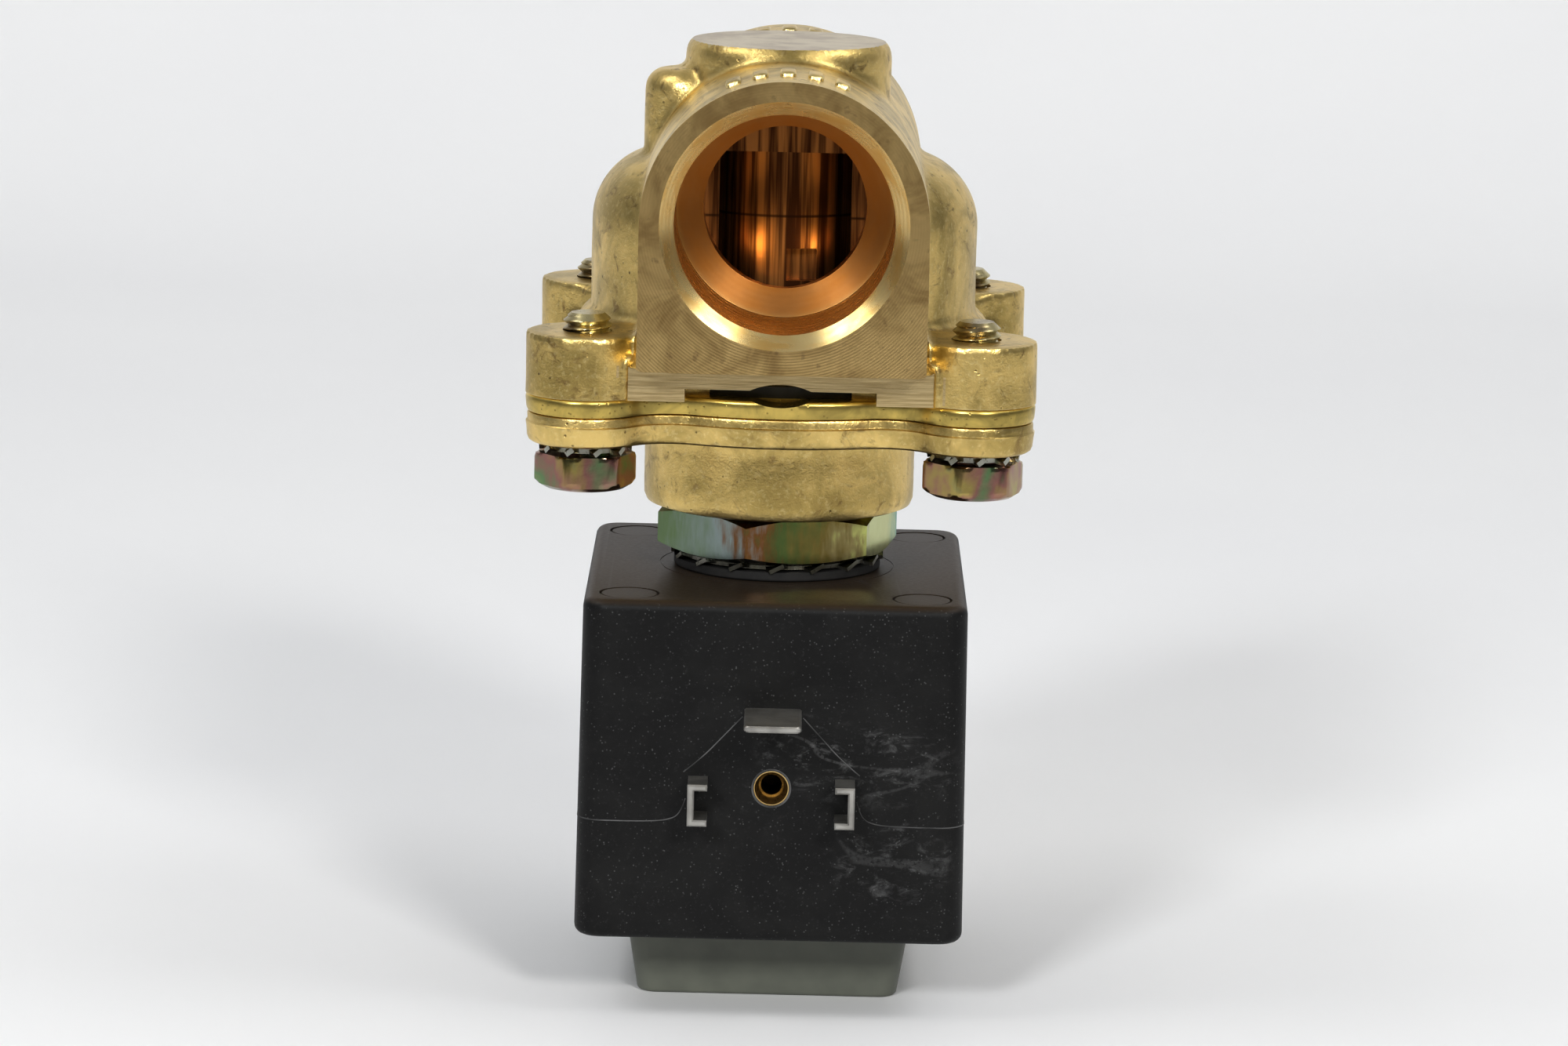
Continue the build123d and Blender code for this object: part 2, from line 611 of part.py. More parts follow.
# Thin stainless tube with a flange at its open end.
with BuildPart() as core_tube:
    with BuildSketch(Plane.XY.offset(TUBE_BOTTOM)):
        Circle(TUBE_R)
        Circle(TUBE_R - TUBE_WALL, mode=Mode.SUBTRACT)
    extrude(amount=SPIGOT_TOP - TUBE_BOTTOM)
    with BuildSketch(Plane.XY.offset(SPIGOT_TOP - TUBE_FLANGE_T)):
        Circle(TUBE_FLANGE_R)
        Circle(TUBE_R - TUBE_WALL, mode=Mode.SUBTRACT)
    extrude(amount=TUBE_FLANGE_T)
core_tube.part.label = "core_tube"
export_step(core_tube.part, "parts/core_tube.step")

# Sealing ring on the tube's flange.
with BuildPart() as tube_o_ring:
    with BuildSketch(Plane.XZ):
        with Locations((PLUNGER_CHAMBER_R - TUBE_RING_WIRE, SPIGOT_TOP + TUBE_RING_WIRE)):
            Circle(TUBE_RING_WIRE - SNUG)
    revolve(axis=Axis.Z)
tube_o_ring.part.label = "tube_o_ring"
export_step(tube_o_ring.part, "parts/tube_o_ring.step")

# Fixed core welded into the tube's closed end, with the stud that carries the coil nut.
with BuildPart() as fixed_core:
    with BuildSketch(Plane.XY.offset(TUBE_BOTTOM)):
        Circle(TUBE_R - TUBE_WALL - SNUG)
    extrude(amount=CORE_TOP - TUBE_BOTTOM)
    with BuildSketch(Plane.XY.offset(STUD_BOTTOM)):
        Circle(STUD_R)
    extrude(amount=TUBE_BOTTOM - STUD_BOTTOM)
    chamfer(fixed_core.edges().group_by(Axis.Z)[0], length=FLANGE_EDGE)
    with BuildSketch(Plane.XY.offset(CORE_TOP)):
        Circle(SHADING_R + SHADING_W)
        Circle(SHADING_R, mode=Mode.SUBTRACT)
    extrude(amount=-SHADING_W, mode=Mode.SUBTRACT)
fixed_core.part.label = "fixed_core"
export_step(fixed_core.part, "parts/fixed_core.step")

# Copper ring let into the core's face; it stops the plunger from humming on alternating current.
with BuildPart() as shading_ring:
    with BuildSketch(Plane.XY.offset(CORE_TOP - SHADING_W)):
        Circle(SHADING_R + SHADING_W - SNUG)
        Circle(SHADING_R + SNUG, mode=Mode.SUBTRACT)
    extrude(amount=SHADING_W - SNUG)
shading_ring.part.label = "shading_ring"
export_step(shading_ring.part, "parts/shading_ring.step")

# ---------------------------------------------------------------- plunger
# Magnetic steel slug with a spring bore at its lower end and a rubber seal at its upper end.
with BuildPart() as plunger:
    with BuildSketch(Plane.XY.offset(PLUNGER_BOTTOM)):
        Circle(PLUNGER_R)
        with PolarLocations(PLUNGER_R, 4):
            Circle(FLUTE_R, mode=Mode.SUBTRACT)
    extrude(amount=PLUNGER_TOP - PLUNGER_BOTTOM)
    with BuildSketch(Plane.XY.offset(PLUNGER_BOTTOM)):
        Circle(SPRING_BORE_R)
    extrude(amount=SPRING_BORE_DEPTH, mode=Mode.SUBTRACT)
    with BuildSketch(Plane.XY.offset(PLUNGER_TOP)):
        Circle(SEAL_R)
    extrude(amount=-SEAL_DEPTH, mode=Mode.SUBTRACT)
plunger.part.label = "plunger"
export_step(plunger.part, "parts/plunger.step")

with BuildPart() as plunger_seal:
    with BuildSketch(Plane.XY.offset(PLUNGER_TOP)):
        Circle(SEAL_R - SNUG)
    extrude(amount=-SEAL_DEPTH)
    with BuildSketch(Plane.XY.offset(PLUNGER_TOP)):
        Circle(SEAL_R - FLANGE_EDGE)
    extrude(amount=SNUG)
plunger_seal.part.label = "plunger_seal"
export_step(plunger_seal.part, "parts/plunger_seal.step")

# Return spring between the fixed core and the end of the plunger's bore.
with BuildPart() as plunger_spring:
    with BuildLine() as return_path:
        Helix(
            pitch=(RETURN_HIGH - RETURN_LOW) / RETURN_TURNS,
            height=RETURN_HIGH - RETURN_LOW,
            radius=RETURN_R,
            center=(0, 0, RETURN_LOW),
        )
    with BuildSketch(Plane(origin=return_path.line @ 0, z_dir=return_path.line % 0)):
        Circle(RETURN_WIRE_R)
    sweep(path=return_path.line, is_frenet=True)
plunger_spring.part.label = "plunger_spring"
export_step(plunger_spring.part, "parts/plunger_spring.step")

# ---------------------------------------------------------------- rings between coil and hexagon nut
with BuildPart() as coil_top_seal:
    with BuildSketch(Plane.XY.offset(SEAL_BOTTOM)):
        Circle(SEAL_RING_R)
        Circle(TUBE_R + CLEARANCE, mode=Mode.SUBTRACT)
    extrude(amount=SEAL_TOP - SEAL_BOTTOM)
    fillet(coil_top_seal.edges().group_by(Axis.Z)[0].sort_by(SortBy.LENGTH)[-1], radius=SEAL_EDGE)
coil_top_seal.part.label = "coil_top_seal"
export_step(coil_top_seal.part, "parts/coil_top_seal.step")

with BuildPart() as tube_lock_washer:
    with BuildSketch(Plane.XY.offset(SEAL_TOP)):
        RegularPolygon(TOOTHED_R, TOOTHED_TEETH)
        RegularPolygon(TOOTHED_R, TOOTHED_TEETH, rotation=RING_TOOTH_TURN)
        Circle(TUBE_R + CLEARANCE, mode=Mode.SUBTRACT)
    extrude(amount=HEX_BOTTOM - SEAL_TOP)
tube_lock_washer.part.label = "tube_lock_washer"
export_step(tube_lock_washer.part, "parts/tube_lock_washer.step")

# ---------------------------------------------------------------- coil
# Black moulded block around the winding, slightly wider at its lower end.
with BuildPart() as coil_housing:
    with BuildSketch(Plane.XY.offset(COIL_BOTTOM)):
        RectangleRounded(COIL_W_BOTTOM, COIL_D, COIL_CORNER)
    with BuildSketch(Plane.XY.offset(COIL_TOP)):
        RectangleRounded(COIL_W_TOP, COIL_D, COIL_CORNER)
    loft()
    fillet(coil_housing.edges().group_by(Axis.Z)[0], radius=COIL_EDGE)
    fillet(coil_housing.edges().group_by(Axis.Z)[-1], radius=COIL_EDGE)
    # Central bore that turns on the core tube, and the space for bobbin and yoke.
    with BuildSketch(Plane.XY.offset(COIL_BOTTOM)):
        Circle(TUBE_R + RUNNING)
    extrude(amount=COIL_TOP - COIL_BOTTOM, mode=Mode.SUBTRACT)
    with BuildSketch(Plane.XY.offset(COIL_BOTTOM + CAVITY_WALL)):
        with Locations((0, (CAVITY_Y - CAVITY_X) / 2)):
            Rectangle(2 * CAVITY_X, CAVITY_X + CAVITY_Y)
    extrude(amount=COIL_TOP - COIL_BOTTOM - 2 * CAVITY_WALL, mode=Mode.SUBTRACT)
    # Slots for the two line terminals and the earth terminal, and the hole for the screw insert.
    with BuildSketch(Plane.XZ.offset(TERMINAL_ROOT)):
        with Locations((-PIN_X, PIN_Z), (PIN_X, PIN_Z)):
            Rectangle(PIN_W + 2 * SNUG, PIN_H + 2 * SNUG)
        with Locations((0, EARTH_Z)):
            Rectangle(EARTH_W + 2 * SNUG, PIN_T + 2 * SNUG)
        with Locations((0, CONNECTOR_Z)):
            Circle(INSERT_R + SNUG)
    extrude(amount=COIL_D / 2 - TERMINAL_ROOT, mode=Mode.SUBTRACT)
coil_housing.part.label = "coil_housing"
export_step(coil_housing.part, "parts/coil_housing.step")

# Line terminals: channels with their web outside and their flanges pointing inwards.
for side, terminal_name in ((-1, "line_terminal_left"), (1, "line_terminal_right")):
    with BuildPart() as line_terminal:
        with BuildSketch(Plane.XZ.offset(TERMINAL_ROOT)):
            with Locations((side * PIN_X, PIN_Z)):
                Rectangle(PIN_W, PIN_H)
            with Locations((side * (PIN_X - PIN_T), PIN_Z)):
                Rectangle(PIN_W, PIN_H - 2 * PIN_T, mode=Mode.SUBTRACT)
        extrude(amount=PIN_TIP - TERMINAL_ROOT)
        chamfer(line_terminal.faces().sort_by(Axis.Y)[0].edges(), length=PIN_EDGE)
    line_terminal.part.label = terminal_name
    export_step(line_terminal.part, f"parts/{terminal_name}.step")

# Earth terminal: a flat blade with a slightly rounded tip.
with BuildPart() as earth_terminal:
    with BuildSketch(Plane.XZ.offset(TERMINAL_ROOT)):
        with Locations((0, EARTH_Z)):
            Rectangle(EARTH_W, PIN_T)
    extrude(amount=EARTH_TIP - TERMINAL_ROOT)
    fillet(earth_terminal.edges().filter_by(Axis.Z).group_by(Axis.Y)[0], radius=PIN_T)
    chamfer(earth_terminal.faces().sort_by(Axis.Y)[0].edges(), length=PIN_EDGE)
earth_terminal.part.label = "earth_terminal"
export_step(earth_terminal.part, "parts/earth_terminal.step")

# Threaded brass insert for the connector's screw: a blind hole with a wide tapered mouth.
with BuildPart() as screw_insert:
    with BuildSketch(Plane.XZ.offset(TERMINAL_ROOT)):
        with Locations((0, CONNECTOR_Z)):
            Circle(INSERT_R)
    extrude(amount=COIL_D / 2 - TERMINAL_ROOT)
    with BuildSketch(Plane.YZ):
        Polygon(
            (-COIL_D / 2, CONNECTOR_Z),
            (-COIL_D / 2, CONNECTOR_Z + INSERT_MOUTH_R),
            (INSERT_MOUTH_DEPTH - COIL_D / 2, CONNECTOR_Z + INSERT_HOLE_R),
            (INSERT_DEPTH - COIL_D / 2, CONNECTOR_Z + INSERT_HOLE_R),
            (INSERT_DEPTH - COIL_D / 2, CONNECTOR_Z),
            align=None,
        )
    revolve(axis=Axis((0, 0, CONNECTOR_Z), (0, 1, 0)), mode=Mode.SUBTRACT)
screw_insert.part.label = "screw_insert"
export_step(screw_insert.part, "parts/screw_insert.step")

# Steel yoke: a C-shaped bracket that closes the magnetic circuit around the winding.
with BuildPart() as yoke:
    with BuildSketch(Plane.YZ):
        with Locations((0, (YOKE_BOTTOM + YOKE_TOP) / 2)):
            with Locations(((CAVITY_Y - YOKE_X - SNUG) / 2, 0)):
                Rectangle(CAVITY_Y - SNUG + YOKE_X, YOKE_TOP - YOKE_BOTTOM)
            with Locations(((CAVITY_Y - YOKE_X - SNUG) / 2 - YOKE_T, 0)):
                Rectangle(
                    CAVITY_Y - SNUG + YOKE_X,
                    YOKE_TOP - YOKE_BOTTOM - 2 * YOKE_T,
                    mode=Mode.SUBTRACT,
                )
    extrude(amount=YOKE_X, both=True)
    with BuildSketch(Plane.XY.offset(YOKE_BOTTOM)):
        Circle(TUBE_R + CLEARANCE)
    extrude(amount=YOKE_TOP - YOKE_BOTTOM, mode=Mode.SUBTRACT)
yoke.part.label = "yoke"
export_step(yoke.part, "parts/yoke.step")

# Plastic bobbin and the copper winding on it.
with BuildPart() as bobbin:
    with BuildSketch(Plane.XY.offset(BOBBIN_BOTTOM)):
        Circle(BOBBIN_R)
    extrude(amount=BOBBIN_TOP - BOBBIN_BOTTOM)
    with BuildSketch(Plane.XY.offset(BOBBIN_BOTTOM + BOBBIN_WALL)):
        Circle(BOBBIN_R)
        Circle(BOBBIN_BARREL_R, mode=Mode.SUBTRACT)
    extrude(amount=BOBBIN_TOP - BOBBIN_BOTTOM - 2 * BOBBIN_WALL, mode=Mode.SUBTRACT)
    with BuildSketch(Plane.XY.offset(BOBBIN_BOTTOM)):
        Circle(TUBE_R + CLEARANCE)
    extrude(amount=BOBBIN_TOP - BOBBIN_BOTTOM, mode=Mode.SUBTRACT)
bobbin.part.label = "bobbin"
export_step(bobbin.part, "parts/bobbin.step")

with BuildPart() as winding:
    with BuildSketch(Plane.XY.offset(BOBBIN_BOTTOM + BOBBIN_WALL + SNUG)):
        Circle(BOBBIN_R - BOBBIN_WALL / 2)
        Circle(BOBBIN_BARREL_R + SNUG, mode=Mode.SUBTRACT)
    extrude(amount=BOBBIN_TOP - BOBBIN_BOTTOM - 2 * BOBBIN_WALL - 2 * SNUG)
winding.part.label = "winding"
export_step(winding.part, "parts/winding.step")

# ---------------------------------------------------------------- coil nut, washer and cap
with BuildPart() as coil_nut_washer:
    with BuildSketch(Plane.XY.offset(NUT_TOP)):
        Circle(TUBE_R + 2 * FLANGE_EDGE)
        Circle(STUD_R + SNUG, mode=Mode.SUBTRACT)
    extrude(amount=CAP_TOP - NUT_TOP)
coil_nut_washer.part.label = "coil_nut_washer"
export_step(coil_nut_washer.part, "parts/coil_nut_washer.step")

with BuildPart() as coil_nut:
    with BuildSketch(Plane.XY.offset(NUT_BOTTOM)):
        RegularPolygon(NUT_AF / 2, 6, major_radius=False)
        Circle(STUD_R + SNUG, mode=Mode.SUBTRACT)
    extrude(amount=NUT_TOP - NUT_BOTTOM)
coil_nut.part.label = "coil_nut"
export_step(coil_nut.part, "parts/coil_nut.step")

# Moulded cap over the nut: the foot that the valve stands on. It widens towards the coil.
with BuildPart() as coil_cap:
    with BuildSketch():
        RectangleRounded(CAP_BOTTOM_W, CAP_BOTTOM_W, CAP_CORNER)
    with BuildSketch(Plane.XY.offset(CAP_TOP)):
        RectangleRounded(CAP_TOP_W, CAP_TOP_W, CAP_CORNER)
    loft()
    fillet(coil_cap.edges().group_by(Axis.Z)[0], radius=FLANGE_EDGE)
    with BuildSketch(Plane.XY.offset(CAP_WALL)):
        RectangleRounded(CAP_BOTTOM_W - 2 * CAP_WALL, CAP_BOTTOM_W - 2 * CAP_WALL, CAP_CORNER)
        Circle(CAP_GRIP_R + CAP_WALL, mode=Mode.SUBTRACT)
        Circle(CAP_GRIP_R)
    extrude(amount=CAP_TOP - CAP_WALL, mode=Mode.SUBTRACT)
    with BuildSketch(Plane.XY.offset(NUT_TOP)):
        Circle(CAP_GRIP_R + CAP_WALL + SNUG)
    extrude(amount=CAP_TOP - NUT_TOP, mode=Mode.SUBTRACT)
coil_cap.part.label = "coil_cap"
export_step(coil_cap.part, "parts/coil_cap.step")
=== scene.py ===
# %% [markdown]
# # A brass solenoid valve standing on its coil
# The valve's sizes, joints and hidden parts come ready from its CAD model. This lesson gives them their
# looks: rough castings with machined faces, rolled and plated metal, moulded plastic. Every length is in
# metres, in the CAD model's own frame: +Z up the core tube, the ports along Y, the coil's terminals towards
# -Y.

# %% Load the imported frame
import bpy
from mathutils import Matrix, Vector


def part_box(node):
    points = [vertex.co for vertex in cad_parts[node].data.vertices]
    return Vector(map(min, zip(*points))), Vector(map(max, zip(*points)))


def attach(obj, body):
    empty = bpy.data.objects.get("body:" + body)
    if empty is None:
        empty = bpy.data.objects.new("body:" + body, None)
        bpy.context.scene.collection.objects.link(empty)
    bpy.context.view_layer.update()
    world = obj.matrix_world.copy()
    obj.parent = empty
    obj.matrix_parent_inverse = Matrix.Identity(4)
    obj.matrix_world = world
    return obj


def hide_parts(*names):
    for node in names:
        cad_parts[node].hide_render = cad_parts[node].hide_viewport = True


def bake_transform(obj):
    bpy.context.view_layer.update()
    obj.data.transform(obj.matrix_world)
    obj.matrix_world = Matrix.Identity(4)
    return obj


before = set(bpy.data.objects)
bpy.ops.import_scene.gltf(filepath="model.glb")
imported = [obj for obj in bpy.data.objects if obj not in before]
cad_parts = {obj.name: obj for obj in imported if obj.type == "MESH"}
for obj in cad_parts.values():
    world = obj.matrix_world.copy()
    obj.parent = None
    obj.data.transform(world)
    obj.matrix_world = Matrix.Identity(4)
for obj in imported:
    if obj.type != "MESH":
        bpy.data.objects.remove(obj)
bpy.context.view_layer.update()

# %% Other modules
from math import acos, cos, hypot, pi, radians, sin, tau

import bmesh
import bpy
from mathutils import Matrix, Vector, noise

MM = 0.001
scene = bpy.context.scene

# %% [markdown]
# ## Sizes
# Positions are read from the CAD nodes' boxes, so a piece lands where the CAD says. Sizes that a box can't
# tell, such as a radius inside a node, are written here once, in millimetres, with a plain name.

# %% Levels and sizes
def low(node):
    """The lowest corner of a CAD node, in millimetres."""
    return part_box(node)[0] / MM


def high(node):
    """The highest corner of a CAD node, in millimetres."""
    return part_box(node)[1] / MM


COIL_LOW, COIL_HIGH = low("coil_housing"), high("coil_housing")
COVER_LOW, COVER_HIGH = low("cover").z, high("cover").z
PLATE_HIGH = high("intermediate_plate").z
BODY_HIGH = high("valve_body").z
PORT_FACE = high("valve_body").y
BOLT_LOW, BOLT_HIGH = low("cover_bolts").z, high("cover_bolts").z
WASHER_LOW, WASHER_HIGH = low("lock_washers").z, high("lock_washers").z
PORT_Z = 99.2
BOLT_X = 23.65
LOBE_R = 7.5
WAIST_R = 28.4
LOBE_BLEND = 6.0
BOLT_CORNERS = [(x, y) for x in (-BOLT_X, BOLT_X) for y in (-BOLT_X, BOLT_X)]
print("port face", round(PORT_FACE, 2), "body top", round(BODY_HIGH, 2), "bolt tips", round(BOLT_HIGH, 2))

# %% [markdown]
# ## Node trees written as sums
# Shader and geometry trees are both graphs of sockets. A small class wraps one output socket and overloads
# Python's operators, so `grain * 0.5 + clouds` adds its own Math nodes. Every other node comes from one
# method that takes the node's type, its settings and what goes into its sockets.

# %% A socket that does sums
class Wire:
    """An output socket of a node tree that can be added, multiplied and so on."""

    def __init__(self, tree, socket):
        self.tree = tree
        self.socket = socket

    def math(self, operation, *others):
        """A Math node that takes this wire first."""
        return self.tree.node("ShaderNodeMath", {"operation": operation}, dict(enumerate((self, *others))))

    def __add__(self, other):
        return self.math("ADD", other)

    def __radd__(self, other):
        return self.math("ADD", other)

    def __sub__(self, other):
        return self.math("SUBTRACT", other)

    def __mul__(self, other):
        return self.math("MULTIPLY", other)

    def __rmul__(self, other):
        return self.math("MULTIPLY", other)

    def __truediv__(self, other):
        return self.math("DIVIDE", other)

    def step(self, start, end):
        """0 below start, 1 above end, and a smooth rise between them."""
        sockets = {0: self, 1: start, 2: end}
        return self.tree.node("ShaderNodeMapRange", {"interpolation_type": "SMOOTHSTEP"}, sockets)


class Tree:
    """A node tree with one method that makes any node."""

    def __init__(self, tree):
        self.tree = tree

    def node(self, kind, settings=(), sockets=(), out=0):
        """Add a node, set it up, feed its sockets and return one of its outputs."""
        made = self.tree.nodes.new(kind)
        for key, value in dict(settings).items():
            if key == "stops":
                ramp = made.color_ramp
                while len(ramp.elements) < len(value):
                    ramp.elements.new(0.5)
                for element, (place, colour) in zip(ramp.elements, value):
                    element.position = place
                    element.color = (*colour, 1)
            else:
                setattr(made, key, value)
        for key, value in dict(sockets).items():
            if isinstance(value, Wire):
                self.tree.links.new(value.socket, made.inputs[key])
            else:
                made.inputs[key].default_value = value
        return Wire(self, made.outputs[out])


print("tree classes ready")

# %% [markdown]
# ## A finish
# A finish is a material with one Principled shader. Constants sit on the shader's own sockets; whatever
# changes over the surface is built from noise in object space, which stays put when a body moves. Sizes are
# given in millimetres of pattern, because that is how a maker talks about grain.

# %% The finish class
class Finish(Tree):
    """A procedural material: patterns in millimetres, one Principled shader."""

    def __init__(self, name, **constants):
        self.material = bpy.data.materials.new(name)
        self.material.use_nodes = True
        super().__init__(self.material.node_tree)
        self.tree.nodes.clear()
        self.shader = self.tree.nodes.new("ShaderNodeBsdfPrincipled")
        output = self.tree.nodes.new("ShaderNodeOutputMaterial")
        self.tree.links.new(self.shader.outputs[0], output.inputs[0])
        self.place = self.node("ShaderNodeTexCoord", out=3)
        for key, value in constants.items():
            self.shader.inputs[key.replace("_", " ")].default_value = value

    def stretched(self, shift, stretch=(1, 1, 1)):
        """Object coordinates, moved and stretched before a pattern reads them."""
        squeeze = tuple(1 / s for s in stretch)
        return self.node("ShaderNodeMapping", {"vector_type": "POINT"}, {0: self.place, 1: shift, 3: squeeze})

    def noise(self, size, detail=3, rough=0.5, stretch=(1, 1, 1), warp=0, seed=0):
        """Cloudy noise from 0 to 1 with features of about size millimetres. The seed moves it elsewhere."""
        place = self.stretched((seed * 0.37, seed * 0.11, seed * 0.23), stretch)
        sockets = {"Vector": place, "Scale": 1 / (size * MM)}
        sockets |= {"Detail": detail, "Roughness": rough, "Distortion": warp}
        return self.node("ShaderNodeTexNoise", sockets=sockets)

    def cells(self, size, seed=0):
        """Distance to the nearest of scattered points about size millimetres apart, as a share of size."""
        place = self.stretched((seed * 0.19, seed * 0.29, seed * 0.13))
        sockets = {"Vector": place, "Scale": 1 / (size * MM)}
        return self.node("ShaderNodeTexVoronoi", {"feature": "F1"}, sockets)

    def axes(self):
        """The X, Y and Z of the surface in millimetres."""
        split = [self.node("ShaderNodeSeparateXYZ", sockets={0: self.place}, out=i) for i in range(3)]
        return [part * (1 / MM) for part in split]

    def edges(self, start, end):
        """1 on outward edges of a dense mesh, 0 elsewhere."""
        return self.node("ShaderNodeNewGeometry", out=7).step(start, end)

    def mix(self, factor, first, second):
        """The first colour where the factor is 0, the second where it is 1."""
        def full(colour):
            return colour if isinstance(colour, Wire) else (*colour, 1)

        sockets = {0: factor, 6: full(first), 7: full(second)}
        return self.node("ShaderNodeMix", {"data_type": "RGBA"}, sockets, out=2)

    def ramp(self, factor, *stops):
        """A colour read from (place, colour) stops."""
        return self.node("ShaderNodeValToRGB", {"stops": stops}, {0: factor})

    def finish(self, colour, roughness, height=None, depth=0.02):
        """Feed the shader. Height is a pattern from 0 to 1, depth its size in millimetres."""
        links = {"Base Color": colour, "Roughness": roughness}
        if height is not None:
            sockets = {"Strength": 1, "Distance": depth * MM, "Height": height}
            links["Normal"] = self.node("ShaderNodeBump", sockets=sockets)
        for key, wire in links.items():
            self.tree.links.new(wire.socket, self.shader.inputs[key])
        print("finish", self.material.name, len(self.tree.nodes), "nodes")
        return self.material


# %% [markdown]
# ## Brass
# Sand-cast brass is never one colour: the skin has olive and brown clouds of oxide, small pits, and brighter
# metal where edges were rubbed; that pale edge colour is also a painted highlight along the edges. Machined
# faces show fresher metal, each with the marks of its own tool, and the bore and the seat column inside the
# port also carry painted shade. All of them stay close in colour, so they read as one metal worked in
# different ways.

# %% Cast brass
GOLD = (0.80, 0.60, 0.235)
OLIVE = (0.47, 0.35, 0.125)
BROWN = (0.22, 0.135, 0.055)
PALE = (0.96, 0.84, 0.47)


def cast_brass(name, seed, bright=0.0):
    """The skin of a casting: clouds of oxide, pits, and pale rubbed edges that are also a painted edge
    highlight.
    """
    skin = Finish(name, Metallic=1.0)
    clouds = skin.noise(9, 4, 0.6, warp=0.6, seed=seed)
    stains = skin.noise(3.2, 5, 0.65, warp=1.2, seed=seed + 3)
    grain = skin.noise(0.55, 3, 0.6, seed=seed + 5)
    sand = skin.noise(0.22, 2, 0.5, seed=seed + 6)
    colour = skin.mix(clouds.step(0.36, 0.66), GOLD, OLIVE)
    colour = skin.mix(stains.step(0.54, 0.70) * (0.72 - bright), colour, BROWN)
    colour = skin.mix(grain.step(0.5, 0.75) * 0.3, colour, PALE)
    pits = skin.cells(1.5, seed=seed).step(0.16, 0.05) * skin.noise(4, seed=seed + 8).step(0.52, 0.62)
    colour = skin.mix(pits * 0.75, colour, (0.10, 0.065, 0.03))
    # Painted highlight: convex edges are painted pale, partly for rubbed metal and partly for light catching
    # the edges.
    edge_wear_and_sheen = skin.edges(0.52, 0.60)
    colour = skin.mix(edge_wear_and_sheen * 0.55, colour, (0.92, 0.80, 0.46))
    roughness = 0.20 + 0.18 * stains + 0.14 * grain - 0.07 * edge_wear_and_sheen
    height = grain * 0.55 + sand * 0.35 - pits * 0.8 + clouds * 0.4
    return skin.finish(colour, roughness, height, 0.075)


BODY_SKIN = cast_brass("cast_brass_body", 1)
COVER_SKIN = cast_brass("cast_brass_cover", 4, 0.12)

# %% Machined brass
def ripples(distance, pitch):
    """Even ripples from 0 to 1, one for every pitch of the distance."""
    return (distance * (tau / pitch)).math("SINE") * 0.5 + 0.5


def faced_brass():
    """A port face: turned flat, then tarnished brown."""
    skin = Finish("faced_brass", Metallic=1.0)
    tarnish = skin.noise(7, 4, 0.6, warp=0.8, seed=11)
    spots = skin.noise(1.6, 4, 0.6, seed=12)
    x, y, z = skin.axes()
    up = z - PORT_Z
    rings = ripples((x * x + up * up).math("SQRT"), 0.34)
    colour = skin.mix(tarnish.step(0.35, 0.68), (0.68, 0.49, 0.22), (0.38, 0.255, 0.105))
    colour = skin.mix(spots.step(0.60, 0.74) * 0.5, colour, (0.17, 0.105, 0.05))
    roughness = 0.24 + 0.14 * tarnish + 0.08 * spots
    return skin.finish(colour, roughness, rings * 0.5 + spots * 0.5, 0.012)


def bored_brass():
    """The turned bore: bright, with fine rings and streaks along them, and painted shade that turns it dark
    amber deeper in.
    """
    skin = Finish("bored_brass", Metallic=1.0)
    y = skin.axes()[1]
    turns = ripples(y, 0.42)
    # Painted shade: nearer the middle of the body than the cone, the bore is painted dark amber.
    painted_bore_shade = y.math("ABSOLUTE").step(19.0, 17.6)
    haze = skin.noise(5, 3, 0.5, stretch=(1, 0.25, 1), seed=21)
    colour = skin.mix(haze.step(0.35, 0.7), (0.96, 0.76, 0.38), (0.86, 0.58, 0.21))
    colour = skin.mix(painted_bore_shade * 0.9, colour, (0.34, 0.13, 0.028))
    return skin.finish(colour, 0.21 + 0.12 * haze + painted_bore_shade * 0.1, turns * 0.25 + haze * 0.75, 0.008)


def milled_brass():
    """The milled strip and parting face: pale, brushed along X."""
    skin = Finish("milled_brass", Metallic=1.0)
    brushed = skin.noise(0.5, 3, 0.6, stretch=(14, 1, 0.45), seed=31)
    haze = skin.noise(6, 3, 0.5, seed=32)
    colour = skin.mix(brushed.step(0.3, 0.7), (0.56, 0.42, 0.21), (0.78, 0.63, 0.36))
    colour = skin.mix(haze.step(0.5, 0.75) * 0.4, colour, (0.42, 0.30, 0.14))
    return skin.finish(colour, 0.30 + 0.15 * brushed, brushed, 0.02)


def ground_brass():
    """The ground disc on the top boss: greyish pink, with arcs of the wheel."""
    skin = Finish("ground_brass", Metallic=1.0)
    swirl = skin.noise(0.6, 3, 0.6, stretch=(10, 0.6, 1), warp=0.4, seed=41)
    haze = skin.noise(5, 4, 0.6, seed=42)
    colour = skin.mix(haze.step(0.35, 0.7), (0.74, 0.66, 0.52), (0.56, 0.48, 0.38))
    return skin.finish(colour, 0.34 + 0.18 * swirl, swirl, 0.015)


def rolled_brass():
    """The intermediate plate: greener gold with speckles and a painted highlight along its upper edge."""
    skin = Finish("rolled_brass", Metallic=1.0)
    z = skin.axes()[2]
    clouds = skin.noise(5, 4, 0.6, warp=0.5, seed=51)
    speck = skin.cells(0.8, seed=5).step(0.22, 0.08)
    colour = skin.mix(clouds.step(0.35, 0.7), (0.66, 0.50, 0.15), (0.36, 0.28, 0.09))
    colour = skin.mix(speck * 0.5, colour, (0.20, 0.14, 0.05))
    # Painted highlight: a bright gold band along the plate's upper edge.
    painted_lip_highlight = z.step(PLATE_HIGH - 0.45, PLATE_HIGH - 0.15)
    colour = skin.mix(painted_lip_highlight * 0.7, colour, (0.95, 0.74, 0.22))
    return skin.finish(colour, 0.20 + 0.22 * clouds, clouds * 0.6 - speck * 0.3, 0.09)


COLUMN_STEP_Z = 97.5


